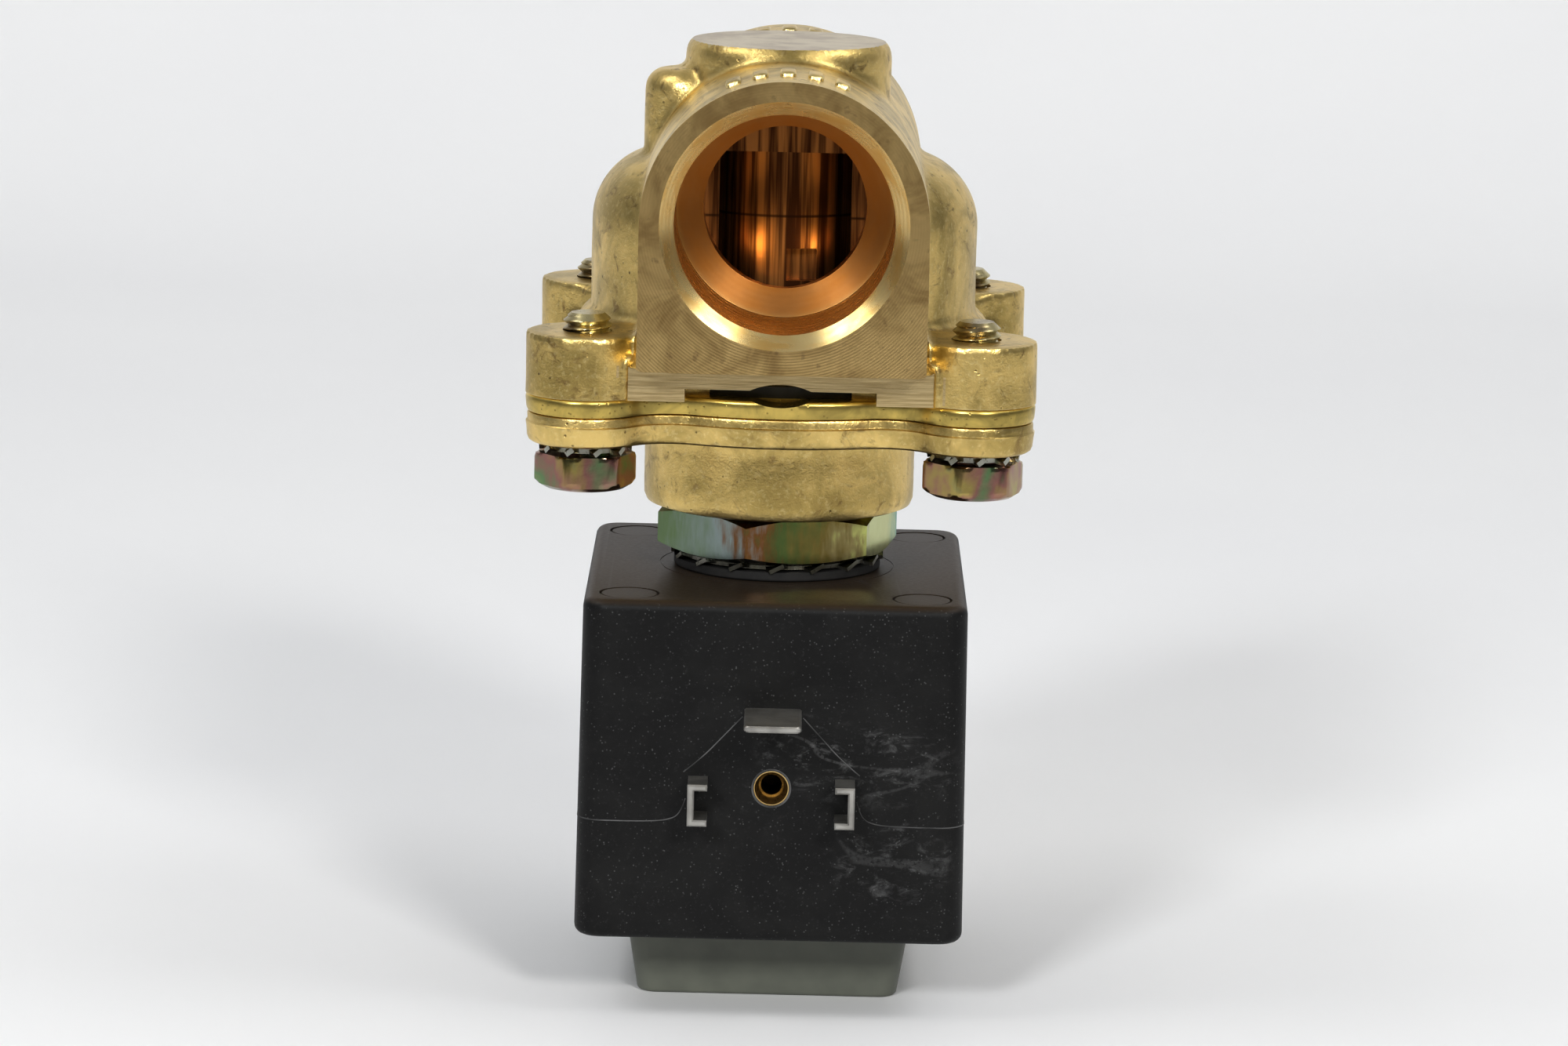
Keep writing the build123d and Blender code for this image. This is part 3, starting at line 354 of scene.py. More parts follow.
def column_brass():
    """The seat column inside the port: dark amber painted shade, with lighter upright streaks that are
    painted reflections, and one tool step.
    """
    skin = Finish("column_brass", Metallic=1.0)
    z = skin.axes()[2]
    streaks = skin.noise(1.1, 3, 0.6, stretch=(1, 1, 30), seed=45)
    lines = skin.noise(0.3, 2, 0.5, stretch=(20, 20, 1), seed=46)
    step = (z - COLUMN_STEP_Z).math("ABSOLUTE").step(0.25, 0.05)
    # Painted shade: both colours are kept dark for the shade inside the body; the lighter upright streaks
    # stand for reflections.
    colour = skin.mix(streaks.step(0.38, 0.62), (0.50, 0.22, 0.065), (0.08, 0.027, 0.009))
    colour = skin.mix(step * 0.8, colour, (0.03, 0.012, 0.005))
    return skin.finish(colour, 0.38 + 0.15 * streaks, lines * 0.5 + streaks * 0.5, 0.02)


COLUMN_PAINTED_SHADE = column_brass()
FACED, BORED, MILLED = faced_brass(), bored_brass(), milled_brass()
GROUND, ROLLED = ground_brass(), rolled_brass()

# %% [markdown]
# ## Plated steel
# Yellow chromate is a clear film a fraction of a micron thick, so its colour runs through green, gold, pink
# and teal as the thickness drifts. A ramp of those colours, driven by slow noise and by the way round the
# part, gives the same drift without reading the viewing direction, so it can be baked. On the hexagon nut the
# way round also paints light and shade on the facets.

# %% Chromated steel, toothed washers, stainless and tinned metal
def chromated(name, stops, seed, turn_share, base_rough, blush):
    """Zinc with an iridescent film: colour stops run round the part and drift with noise."""
    skin = Finish(name, Metallic=1.0)
    drift = skin.noise(6, 3, 0.5, warp=0.4, seed=seed)
    streak = skin.noise(0.9, 4, 0.6, stretch=(1, 1, 5), seed=seed + 1)
    x, y, z = skin.axes()
    around = x.math("ARCTAN2", y * -1) * (1 / tau) + 0.5
    phase = around * turn_share + drift * (1 - turn_share) * 1.3 + streak * 0.12 - 0.1
    colour = skin.ramp(phase.math("FRACT"), *stops)
    colour = skin.mix(streak.step(0.62, 0.8) * blush, colour, (0.45, 0.10, 0.07))
    worn = skin.noise(2, 3, 0.6, seed=seed + 2)
    return skin.finish(colour, base_rough + 0.16 * worn, worn * 0.5 + streak * 0.5, 0.012)


# Painted light on the hexagon: the stops follow the way round the nut, so the front facet comes out dark, the
# left-front facet pale and the right-front facet bright yellow-green; the film's own drift is mixed in.
HEX_FILM_AND_FACET_LIGHT_STOPS = (
    (0.00, (0.19, 0.24, 0.21)),
    (0.30, (0.15, 0.21, 0.11)),
    (0.40, (0.25, 0.30, 0.29)),
    (0.45, (0.17, 0.08, 0.03)),
    (0.49, (0.08, 0.12, 0.04)),
    (0.55, (0.17, 0.13, 0.04)),
    (0.58, (0.24, 0.20, 0.09)),
    (0.61, (0.48, 0.52, 0.18)),
    (0.69, (0.46, 0.48, 0.16)),
    (0.74, (0.09, 0.28, 0.20)),
    (1.00, (0.19, 0.24, 0.21)),
)
BOLT_STOPS = (
    (0.00, (0.33, 0.21, 0.16)),
    (0.20, (0.40, 0.36, 0.15)),
    (0.38, (0.17, 0.29, 0.14)),
    (0.55, (0.34, 0.17, 0.15)),
    (0.70, (0.42, 0.34, 0.12)),
    (0.85, (0.15, 0.25, 0.18)),
    (1.00, (0.33, 0.21, 0.16)),
)
HEX_FILM_AND_FACET_LIGHT = chromated("chromated_hexagon", HEX_FILM_AND_FACET_LIGHT_STOPS, 61, 0.9, 0.10, 0.2)
BOLT_FILM = chromated("chromated_bolt", BOLT_STOPS, 65, 0.2, 0.12, 0.15)


def plain_metal(name, light, dark, rough, seed, grain=1.5, depth=0.01):
    """A plated or drawn metal with slow clouds and fine grain."""
    skin = Finish(name, Metallic=1.0)
    clouds = skin.noise(grain * 4, 3, 0.5, seed=seed)
    fine = skin.noise(grain * 0.3, 3, 0.6, stretch=(1, 1, 3), seed=seed + 1)
    colour = skin.mix(clouds.step(0.35, 0.7), light, dark)
    return skin.finish(colour, rough + 0.2 * fine, fine, depth)


THREAD_FILM = plain_metal("thread_film", (0.62, 0.54, 0.30), (0.20, 0.14, 0.08), 0.2, 71)
TOOTH_ZINC = plain_metal("tooth_zinc", (0.50, 0.50, 0.44), (0.24, 0.23, 0.17), 0.2, 73)
STAINLESS = plain_metal("stainless", (0.66, 0.66, 0.65), (0.52, 0.52, 0.52), 0.22, 75)
TIN = plain_metal("dull_tin", (0.50, 0.49, 0.46), (0.33, 0.32, 0.30), 0.36, 77, 0.9, 0.02)
COPPER = plain_metal("enamelled_copper", (0.76, 0.36, 0.20), (0.62, 0.26, 0.12), 0.25, 79)
TURNED = plain_metal("turned_brass", (0.84, 0.62, 0.28), (0.58, 0.40, 0.16), 0.2, 81)
DEEP = plain_metal("shadowed_thread", (0.06, 0.04, 0.02), (0.02, 0.012, 0.008), 0.4, 83, 0.6)

# %% [markdown]
# ## Plastics and rubber
# The coil is moulded in black plastic filled with glass: satin, very slightly grainy, with pale glass
# specks near the skin and chalky scuffs where something rubbed it. The cap is smooth and grey-green.

# %% Coil plastic, cap plastic, rubber and nylon
def coil_plastic():
    """Black glass-filled moulding with specks, scuffs, pale worn edges and a painted reflection on its top
    face.
    """
    skin = Finish("coil_plastic", Metallic=0.0, Specular_IOR_Level=0.26)
    x, y, z = skin.axes()
    grain = skin.noise(0.5, 3, 0.6, seed=91)
    clouds = skin.noise(8, 4, 0.6, warp=0.5, seed=92)
    specks = skin.cells(0.5, seed=9).step(0.26, 0.1) * skin.noise(1.3, seed=93).step(0.44, 0.62)
    colour = skin.mix(clouds.step(0.35, 0.7), (0.0045, 0.0045, 0.0046), (0.0095, 0.0095, 0.0092))
    colour = skin.mix(grain.step(0.55, 0.8) * 0.5, colour, (0.03, 0.03, 0.03))
    colour = skin.mix(specks * 0.55, colour, (0.13, 0.13, 0.13))
    # Painted reflection: the top face is tinted brown for the brass above that it reflects.
    top = z.step(COIL_HIGH.z - 0.8, COIL_HIGH.z - 0.1)
    colour = skin.mix(top * 0.7, colour, (0.062, 0.044, 0.030))
    # Chalky scuffs sit on the front face, right of the right-hand terminal and near the lower right corner.
    rubs = skin.noise(1.5, 5, 0.75, stretch=(2.0, 1, 1), warp=0.5, seed=95).step(0.50, 0.78)
    veins = skin.noise(8, 1, 0.4, stretch=(3.4, 1, 1), warp=0.15, seed=98)
    threads = (veins - 0.5).math("ABSOLUTE").step(0.010, 0.003) * grain.step(0.3, 0.55)
    front = y.step(COIL_LOW.y * 0.80, COIL_LOW.y * 0.95)

    def near(cx, cz, wide, tall):
        """1 in the middle of an ellipse on the face, fading to 0 at its rim."""
        across, up = (x - cx) / wide, (z - cz) / tall
        return (across * across + up * up).step(1.0, 0.25)

    where = near(12, 32, 13, 6) + near(15, 20, 9, 6) + near(4, 34, 7, 5)
    scuff = (rubs * 0.42 + threads * 0.13) * front * where
    colour = skin.mix(scuff.math("MINIMUM", 1.0) * 0.8, colour, (0.26, 0.26, 0.26))
    worn = skin.edges(0.53, 0.60) * grain.step(0.35, 0.6)
    colour = skin.mix(worn * 0.28, colour, (0.12, 0.12, 0.12))
    roughness = 0.42 + 0.16 * grain + scuff * 0.2 - top * 0.06
    return skin.finish(colour, roughness, grain * 0.6 + clouds * 0.2 + specks * 0.4, 0.035)


def moulded(name, light, dark, rough, seed, size=6):
    """A plain moulding with slow clouds and fine grain."""
    skin = Finish(name, Metallic=0.0)
    clouds = skin.noise(size, 3, 0.5, seed=seed)
    fine = skin.noise(size * 0.1, 3, 0.6, seed=seed + 1)
    colour = skin.mix(clouds.step(0.3, 0.7), light, dark)
    return skin.finish(colour, rough + 0.15 * fine, fine, 0.01)


COIL_BLACK = coil_plastic()
CAP_GREEN = moulded("cap_plastic", (0.150, 0.158, 0.128), (0.118, 0.125, 0.102), 0.36, 101)
RUBBER = moulded("seal_rubber", (0.016, 0.016, 0.016), (0.028, 0.027, 0.026), 0.55, 103, 2)
NYLON = moulded("bobbin_nylon", (0.62, 0.58, 0.46), (0.52, 0.48, 0.38), 0.4, 105)
CHALK = moulded("mould_line", (0.13, 0.13, 0.13), (0.035, 0.035, 0.035), 0.6, 107, 3)

# %% [markdown]
# ## Dressing the hidden parts
# Most of what is inside keeps its CAD mesh, whose shape is already right. It only needs the right material
# in its slots.

# %% Materials on CAD nodes
DRESS = {
    STAINLESS: (
        "core_tube", "fixed_core", "plunger", "yoke",
        "diaphragm_lower_disc", "diaphragm_screw", "diaphragm_nut",
    ),
    TURNED: ("pilot_seat", "diaphragm_upper_disc"),
    RUBBER: ("plate_o_ring", "tube_o_ring", "plunger_seal", "coil_top_seal"),
    COPPER: ("shading_ring",),
    NYLON: ("bobbin",),
    TIN: ("line_terminal_left", "line_terminal_right", "earth_terminal", "coil_nut_washer"),
    HEX_FILM_AND_FACET_LIGHT: ("tube_hex_nut", "coil_nut"),
    CAP_GREEN: ("coil_cap",),
}
for material, names in DRESS.items():
    for name in names:
        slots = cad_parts[name].data.materials
        slots.clear()
        slots.append(material)
print("dressed", sum(len(names) for names in DRESS.values()), "CAD nodes")

# %% [markdown]
# ## Mesh tools
# A few helpers cover nearly every piece: a loft through rings of points, a turned solid with plain drums
# and pipes as short cuts, a carving step, and one that gathers parts into one mesh. The carving uses
# Boolean modifiers with the Manifold solver, which is quick on closed meshes, and keeps the result as a
# plain mesh.

# %% Lofts, turned solids and carving
def solid(name, bm):
    """Turn a bmesh in millimetres into an object in metres."""
    bmesh.ops.recalc_face_normals(bm, faces=bm.faces)
    bm.transform(Matrix.Scale(MM, 4))
    mesh = bpy.data.meshes.new(name)
    bm.to_mesh(mesh)
    bm.free()
    made = bpy.data.objects.new(name, mesh)
    scene.collection.objects.link(made)
    return made


def loft(name, rings):
    """A closed solid through rings with equally many points, flat at both ends."""
    bm = bmesh.new()
    loops = [[bm.verts.new(point) for point in ring] for ring in rings]
    for lower, upper in zip(loops, loops[1:]):
        for i in range(len(lower)):
            bm.faces.new((lower[i - 1], lower[i], upper[i], upper[i - 1]))
    bm.faces.new(loops[0][::-1])
    bm.faces.new(loops[-1])
    return solid(name, bm)


def turned(name, profile, steps=96, ring=False, place=None):
    """Spin (radius, height) points about Z. A ring closes on itself; other ends are closed by a face."""
    bm = bmesh.new()
    loops = []
    for radius, height in profile:
        if radius < 1e-6:
            loops.append([bm.verts.new((0, 0, height))] * steps)
        else:
            angles = [tau * i / steps for i in range(steps)]
            loops.append([bm.verts.new((radius * cos(a), radius * sin(a), height)) for a in angles])
    pairs = list(zip(loops, loops[1:])) + ([(loops[-1], loops[0])] if ring else [])
    for first, second in pairs:
        for i in range(steps):
            corners = [first[i - 1], first[i], second[i], second[i - 1]]
            corners = list(dict.fromkeys(corners))
            if len(corners) > 2:
                bm.faces.new(corners)
    if not ring:
        for end in (loops[0], loops[-1]):
            if len(set(end)) > 2:
                bm.faces.new(end)
    if place is not None:
        bm.transform(place)
    return solid(name, bm)


def drum(name, radius, bottom, top, steps=96, place=None):
    """A plain cylinder about Z."""
    return turned(name, [(0, bottom), (radius, bottom), (radius, top), (0, top)], steps, place=place)


def pipe(name, inner, outer, bottom, top, steps=96, place=None):
    """A plain tube about Z."""
    profile = [(inner, bottom), (outer, bottom), (outer, top), (inner, top)]
    return turned(name, profile, steps, ring=True, place=place)


def block(name, lower, upper):
    """A box between two corners in millimetres."""
    bm = bmesh.new()
    bmesh.ops.create_cube(bm, size=1)
    lower, upper = Vector(lower), Vector(upper)
    bm.transform(Matrix.Translation((lower + upper) / 2) @ Matrix.Diagonal((upper - lower).to_4d()))
    return solid(name, bm)


def gathered(name, parts):
    """One object that holds the meshes of several, which are deleted."""
    bm = bmesh.new()
    for part in parts:
        bm.from_mesh(part.data)
        bpy.data.objects.remove(part)
    bmesh.ops.recalc_face_normals(bm, faces=bm.faces)
    mesh = bpy.data.meshes.new(name)
    bm.to_mesh(mesh)
    bm.free()
    made = bpy.data.objects.new(name, mesh)
    scene.collection.objects.link(made)
    return made


def settle(piece):
    """Replace a piece's mesh by its evaluated one and drop the modifiers."""
    bpy.context.view_layer.update()
    shown = piece.evaluated_get(bpy.context.evaluated_depsgraph_get())
    mesh = bpy.data.meshes.new_from_object(shown)
    piece.modifiers.clear()
    piece.data = mesh
    return piece


def carve(piece, tools, operation="DIFFERENCE"):
    """Cut the tools out of a piece, or join them to it, and delete them."""
    for tool in tools:
        cut = piece.modifiers.new("carve", "BOOLEAN")
        cut.solver = "MANIFOLD"
        cut.operation = operation
        cut.object = tool
    settle(piece)
    for tool in tools:
        bpy.data.objects.remove(tool)
    return piece


def shade(piece, angle=32):
    """Smooth shading with sharp edges where faces turn by more than the angle."""
    piece.data.shade_smooth()
    piece.data.set_sharp_from_angle(angle=radians(angle))
    return piece


def coat(piece, finishes, choose):
    """Give a piece several finishes. Each face's number in the list is chosen from its centre and normal."""
    piece.data.materials.clear()
    for finish in finishes:
        piece.data.materials.append(finish)
    for face in piece.data.polygons:
        face.material_index = choose(face.center / MM, face.normal)
    return piece


def put_on(piece, body, slot, *replaced, material=None):
    """Give a finished piece its material, its body and the CAD nodes it stands for, which are hidden. The
    slot is not used.
    """
    if material is not None:
        piece.data.materials.clear()
        piece.data.materials.append(material)
    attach(piece, body)
    if replaced:
        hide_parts(*replaced)
    print("piece", piece.name, "on", body, "with", len(piece.data.polygons), "faces")
    return piece


ALONG_Y = Matrix.Translation((0, 0, PORT_Z)) @ Matrix.Rotation(-pi / 2, 4, "X")
print("mesh tools ready")

# %% [markdown]
# ## The flange outline
# Body, plate and cover share one outline: a round plate with four bolt lobes, blended by hollow arcs. Where
# the arcs touch follows from the triangle between the plate's centre, the lobe's centre and the hollow
# arc's centre, so the outline grows or shrinks evenly with one number.

# %% The lobed outline
def arc(centre, radius, start, end, count):
    """Points of an arc. It stops short of its end, where the next one starts."""
    angles = [start + (end - start) * i / count for i in range(count)]
    return [(centre[0] + radius * cos(a), centre[1] + radius * sin(a)) for a in angles]


def lobed_outline(grow=0.0, steps=14):
    """Points of the lobed outline, anticlockwise, in millimetres."""
    waist, lobe, hollow = WAIST_R + grow, LOBE_R + grow, LOBE_BLEND - grow
    reach = hypot(BOLT_X, BOLT_X)
    to_hollow, lobe_to_hollow = waist + hollow, lobe + hollow
    at_centre = acos((reach**2 + to_hollow**2 - lobe_to_hollow**2) / (2 * reach * to_hollow))
    at_lobe = acos((reach**2 + lobe_to_hollow**2 - to_hollow**2) / (2 * reach * lobe_to_hollow))
    sweep, cap = pi - at_centre - at_lobe, pi - at_lobe
    points = []
    for quarter in range(4):
        middle = pi / 4 + quarter * pi / 2
        before, after = middle - at_centre, middle + at_centre
        lobe_centre = (reach * cos(middle), reach * sin(middle))
        first_hollow = (to_hollow * cos(before), to_hollow * sin(before))
        second_hollow = (to_hollow * cos(after), to_hollow * sin(after))
        points += arc((0, 0), waist, middle - pi / 4, before, steps)
        points += arc(first_hollow, hollow, before + pi, before + pi - sweep, steps)
        points += arc(lobe_centre, lobe, middle - cap, middle + cap, 3 * steps)
        points += arc(second_hollow, hollow, after + pi + sweep, after + pi, steps)
        points += arc((0, 0), waist, after, middle + pi / 4, steps)
    return points


def lobed_slab(name, levels, wave=0.0, seed=0.0):
    """A lobed plate through (height, growth) levels. Wave lets its edge wander like a casting's."""
    rings = []
    for height, grow in levels:
        ring = []
        for x, y in lobed_outline(grow):
            away = Vector((x, y, 0)).normalized()
            drift = wave * noise.noise(Vector((x * 0.22 + seed, y * 0.22, height * 0.35)))
            drift -= 1.3 * abs(wave)
            ring.append((x + away.x * drift, y + away.y * drift, height))
        rings.append(ring)
    return loft(name, rings)


def bolt_pins(radius, bottom, top, steps=48):
    """Four cylinders on the bolt pattern, as cutting tools."""
    return [drum("pin", radius, bottom, top, steps, Matrix.Translation((x, y, 0))) for x, y in BOLT_CORNERS]


print("outline points:", len(lobed_outline()))

# %% [markdown]
# ## The valve body
# A real body is poured first and machined afterwards, and the model follows the same order. Overlapping
# plain solids are fused by a voxel remesh and smoothed, which gives every corner a casting's soft radius. A
# little noise roughens the skin. Then the crisp work is cut in: port faces, bores, parting face, bolt holes
# and pry slots.

# %% Pour the body
VOXEL = 0.5
ALLOWANCE = 1.6
LOBE_HIGH = 84.6
STRIP_HIGH = 81.2
STRIP_Y = 30.0
STRIP_X = 18.5
HUB_R = 17.5
POUR_LOW = PLATE_HIGH - ALLOWANCE
WEB_HALF = 6.9
DOME_R, DOME_HIGH, DOME_ROUND = 24.1, 104.5, 9.0


def quarter_round(radius, centre_r, centre_z, steps=10):
    """Profile points of a convex quarter circle, from outside to top."""
    angles = [pi / 2 * i / steps for i in range(steps + 1)]
    return [(centre_r + radius * cos(a), centre_z + radius * sin(a)) for a in angles]


def knob(name, x, y, radius, bottom, top, rounding):
    """A round post with a rounded rim."""
    profile = [(0, bottom), (radius, bottom)]
    profile += quarter_round(rounding, radius - rounding, top - rounding)
    profile += [(0, top)]
    return turned(name, profile, 64, place=Matrix.Translation((x, y, 0)))


def hub(name, reach):
    """A D-shaped bar along Y: round above the port, square below it."""
    outline = [(HUB_R, STRIP_HIGH), (HUB_R, PORT_Z)]
    outline += [(HUB_R * cos(pi * i / 48), PORT_Z + HUB_R * sin(pi * i / 48)) for i in range(1, 48)]
    outline += [(-HUB_R, PORT_Z), (-HUB_R, STRIP_HIGH)]
    return loft(name, [[(x, y, z) for x, z in outline] for y in (-reach, reach)])


def pour(name, parts, voxel, rounds, rough, seed):
    """Fuse overlapping solids into one soft-cornered casting with an uneven skin."""
    casting = gathered(name, parts)
    fuse = casting.modifiers.new("fuse", "REMESH")
    fuse.mode = "VOXEL"
    fuse.voxel_size = voxel * MM
    soften = casting.modifiers.new("soften", "SMOOTH")
    soften.factor = 0.5
    soften.iterations = rounds
    settle(casting)
    normals = [vertex.normal.copy() for vertex in casting.data.vertices]
    for vertex, normal in zip(casting.data.vertices, normals):
        place = vertex.co / MM
        swell = noise.noise(place * 0.16 + Vector((seed, 0, 0))) + noise.noise(place * 0.55) * 0.35
        vertex.co += normal * (swell * rough - rough) * MM
    return casting


webs = []
for quarter in range(4):
    turn = Matrix.Rotation(pi / 4 + quarter * pi / 2, 4, "Z")
    web = block("web", (12, -WEB_HALF, POUR_LOW), (hypot(BOLT_X, BOLT_X), WEB_HALF, LOBE_HIGH - 0.4))
    web.data.transform(turn)
    webs.append(web)
lobes = bolt_pins(LOBE_R + 0.02, POUR_LOW, LOBE_HIGH + 0.05, 64)
dome_profile = [(0, POUR_LOW), (DOME_R, POUR_LOW)]
dome_profile += quarter_round(DOME_ROUND, DOME_R - DOME_ROUND, DOME_HIGH - DOME_ROUND, 14)
dome_profile += [(0, DOME_HIGH + 0.6)]
skirt = [(POUR_LOW, 0.02), (PLATE_HIGH + 3.4, -0.05)]
shoulder = [(0, POUR_LOW), (DOME_R + 4.0, POUR_LOW), (DOME_R + 3.4, PLATE_HIGH + 3.5)]
shoulder += [(DOME_R + 0.8, PLATE_HIGH + 7.5), (0, PLATE_HIGH + 9.0)]
strip = block("strip", (-18.4, -31.5, POUR_LOW), (18.4, 31.5, STRIP_HIGH + 0.8))
parts = webs + lobes + [strip, hub("hubs", PORT_FACE + ALLOWANCE)]
parts += [turned("dome", dome_profile), lobed_slab("skirt", skirt), turned("shoulder", shoulder)]
parts.append(knob("boss", 0, 0, 12.85, PORT_Z, BODY_HIGH + 0.7, 2.4))
parts.append(knob("post", -12.3, -2, 5.5, PORT_Z, 114.7, 2.6))
body = pour("valve_body_casting", parts, VOXEL, 5, 0.06, 3.0)
print("casting", body.name, len(body.data.polygons), "faces")

# %% [markdown]
# The cutters are plain closed solids. The flow chamber is prepared first: a stepped round hollow from which
# the seat column and the outlet tunnel are taken away, so that they stay standing in the body when the
# hollow is cut.

# %% Machine the body
BORE_R, THROAT_R, CHAMFER_R, CHAMFER_DEPTH = 13.3, 10.0, 15.05, 1.7
CONE_INNER_Y, CONE_OUTER_Y = 16.0, 18.0
INLET_END, OUTLET_END = 12.0, 0.0
CHAMBER_R, CHAMBER_TOP = 19.5, 85.5
GALLERY_R, GALLERY_TOP = 14.5, 105.5
COLUMN_R, COLUMN_BORE_R, COLUMN_BORE_TOP = 11.5, 9.0, 103.0
TUNNEL_R, TUNNEL_END = 12.3, 24.0
SEAT_Z = 81.65
RIM_SEAT_R, RIM_SEAT_TOP = 25.8, 78.4
SLOT_Y, SLOT_HALF, SLOT_H = 24.3, 11.6, 1.6
LENS_R, LENS_END = 9.0, 33.0
BODY_HOLE_R, CLEAR_HOLE_R = 3.05, 3.3
BELOW, ABOVE, FAR = 70.0, 130.0, 60.0


def port_cutter(side, end):
    """Chamfer, smooth bore, cone and throat of one port, as a turned tool along Y."""
    depths = [(0, end), (THROAT_R, end), (THROAT_R, CONE_INNER_Y), (BORE_R, CONE_OUTER_Y)]
    depths += [(BORE_R, PORT_FACE - CHAMFER_DEPTH), (CHAMFER_R, PORT_FACE), (CHAMFER_R, PORT_FACE + 4)]
    tool = turned("port", depths + [(0, PORT_FACE + 4)], 128, place=ALONG_Y)
    if side < 0:
        tool.data.transform(Matrix.Rotation(pi, 4, "Z"))
    return tool


def end_lens(name, side, near, centre_z):
    """A disc that stands square to Y at one end, as a tool for a lens-shaped recess."""
    lens = drum(name, LENS_R, near, LENS_END)
    lens.data.transform(Matrix.Translation((0, 0, centre_z * MM)) @ Matrix.Rotation(-side * pi / 2, 4, "X"))
    return lens


hollow_profile = [(0, BELOW), (CHAMBER_R, BELOW), (CHAMBER_R, CHAMBER_TOP), (GALLERY_R, CHAMBER_TOP)]
hollow_profile += [(GALLERY_R, GALLERY_TOP), (0, GALLERY_TOP)]
hollow = turned("hollow", hollow_profile)
column = drum("column", COLUMN_R, SEAT_Z, ABOVE - 20)
tunnel = drum("tunnel", TUNNEL_R, 0, TUNNEL_END, 64, ALONG_Y)
rib = block("rib", (-22, -2.5, SEAT_Z + 1), (-10, 2.5, PORT_Z + 1))
carve(hollow, [column, tunnel, rib])
cuts = [hollow, drum("column_bore", COLUMN_BORE_R, BELOW, COLUMN_BORE_TOP)]
cuts += [port_cutter(-1, INLET_END), port_cutter(1, OUTLET_END)]
cuts.append(block("window", (0.3, -11.9, 89.5), (4.0, -9.6, 93.5)))
cuts.append(block("parting", (-FAR, -FAR, FAR), (FAR, FAR, PLATE_HIGH)))
cuts.append(block("crown", (-FAR, -FAR, BODY_HIGH - 0.03), (FAR, FAR, ABOVE)))
for side in (-1, 1):
    near_y, far_y = sorted((side * (PORT_FACE - 0.01), side * FAR))
    cuts.append(block("facing", (-FAR, near_y, FAR), (FAR, far_y, ABOVE + 10)))
    near_y, far_y = sorted((side * STRIP_Y, side * (PORT_FACE + 2)))
    cuts.append(block("strip_cut", (-STRIP_X, near_y, BELOW), (STRIP_X, far_y, STRIP_HIGH)))
    near_y, far_y = sorted((side * SLOT_Y, side * (STRIP_Y + 2)))
    cuts.append(block("pry_slot", (-SLOT_HALF, near_y, BELOW + 6), (SLOT_HALF, far_y, PLATE_HIGH + SLOT_H)))
    cuts.append(end_lens("pry_lens", side, SLOT_Y, PLATE_HIGH + 2.4 - LENS_R))
cuts.append(drum("rim_seat", RIM_SEAT_R, BELOW, RIM_SEAT_TOP))
cuts += bolt_pins(BODY_HOLE_R, BELOW, 95)
carve(body, cuts)
xs = [v.co.x / MM for v in body.data.vertices]
print("machined body", len(body.data.polygons), "faces, X", round(min(xs), 2), round(max(xs), 2))

# %% Skin and machined faces of the body
BODY_FINISHES = [BODY_SKIN, FACED, BORED, MILLED, GROUND, COLUMN_PAINTED_SHADE]
ON_SKIN, ON_PORT_FACE, IN_BORE, ON_STRIP, ON_CROWN, ON_PAINTED_SHADE = range(6)
COLUMN_EDGE_R, COLUMN_FINISH_R = COLUMN_BORE_R - 0.1, GALLERY_R + 0.1
# How far from the port's axis the column and the chamber's wall are still machined.
COLUMN_REACH, CHAMBER_REACH = 15.9, 24.0


def body_finish(centre, normal):
    """Which finish a face of the body has, from where it is and how it faces."""
    x, y, z = centre
    from_port, from_axis = hypot(x, z - PORT_Z), hypot(x, y)
    in_throat = from_port < THROAT_R + 0.05
    below_roof = z < GALLERY_TOP + 0.1
    if abs(y) > PORT_FACE - 0.05 and abs(normal.y) > 0.99:
        return ON_PORT_FACE
    # The seat column takes the painted shade of the dark chamber.
    if COLUMN_EDGE_R < from_axis < COLUMN_FINISH_R and from_port < COLUMN_REACH and below_roof:
        return ON_PAINTED_SHADE
    # The end wall round the inlet throat takes the same painted shade.
    if abs(abs(y) - INLET_END) < 0.05 and in_throat:
        return ON_PAINTED_SHADE
    if from_port < CHAMFER_R + 0.05 and abs(y) < PORT_FACE and (abs(y) > INLET_END - 0.1 or in_throat):
        return IN_BORE
    faces_axis = x * normal.x + y * normal.y < 0 and abs(normal.z) < 0.5
    in_chamber = COLUMN_EDGE_R < from_axis < CHAMBER_R + 0.1 and below_roof
    if faces_axis and in_chamber and from_port < CHAMBER_REACH:
        return IN_BORE
    if z < PLATE_HIGH + 0.01 or (abs(abs(y) - STRIP_Y) < 0.02 and z < STRIP_HIGH):
        return ON_STRIP
    if z > BODY_HIGH - 0.06:
        return ON_CROWN
    return ON_SKIN


coat(body, BODY_FINISHES, body_finish)
shade(body, 38)
put_on(body, "valve", "cast_brass", "valve_body")

# %% [markdown]
# ## Cover and plate
# The cover is a casting too, but its flange edge carries a ridge where the two halves of the mould met, so
# it is lofted through levels rather than smoothed. The plate is rolled metal with lightly rounded edges.

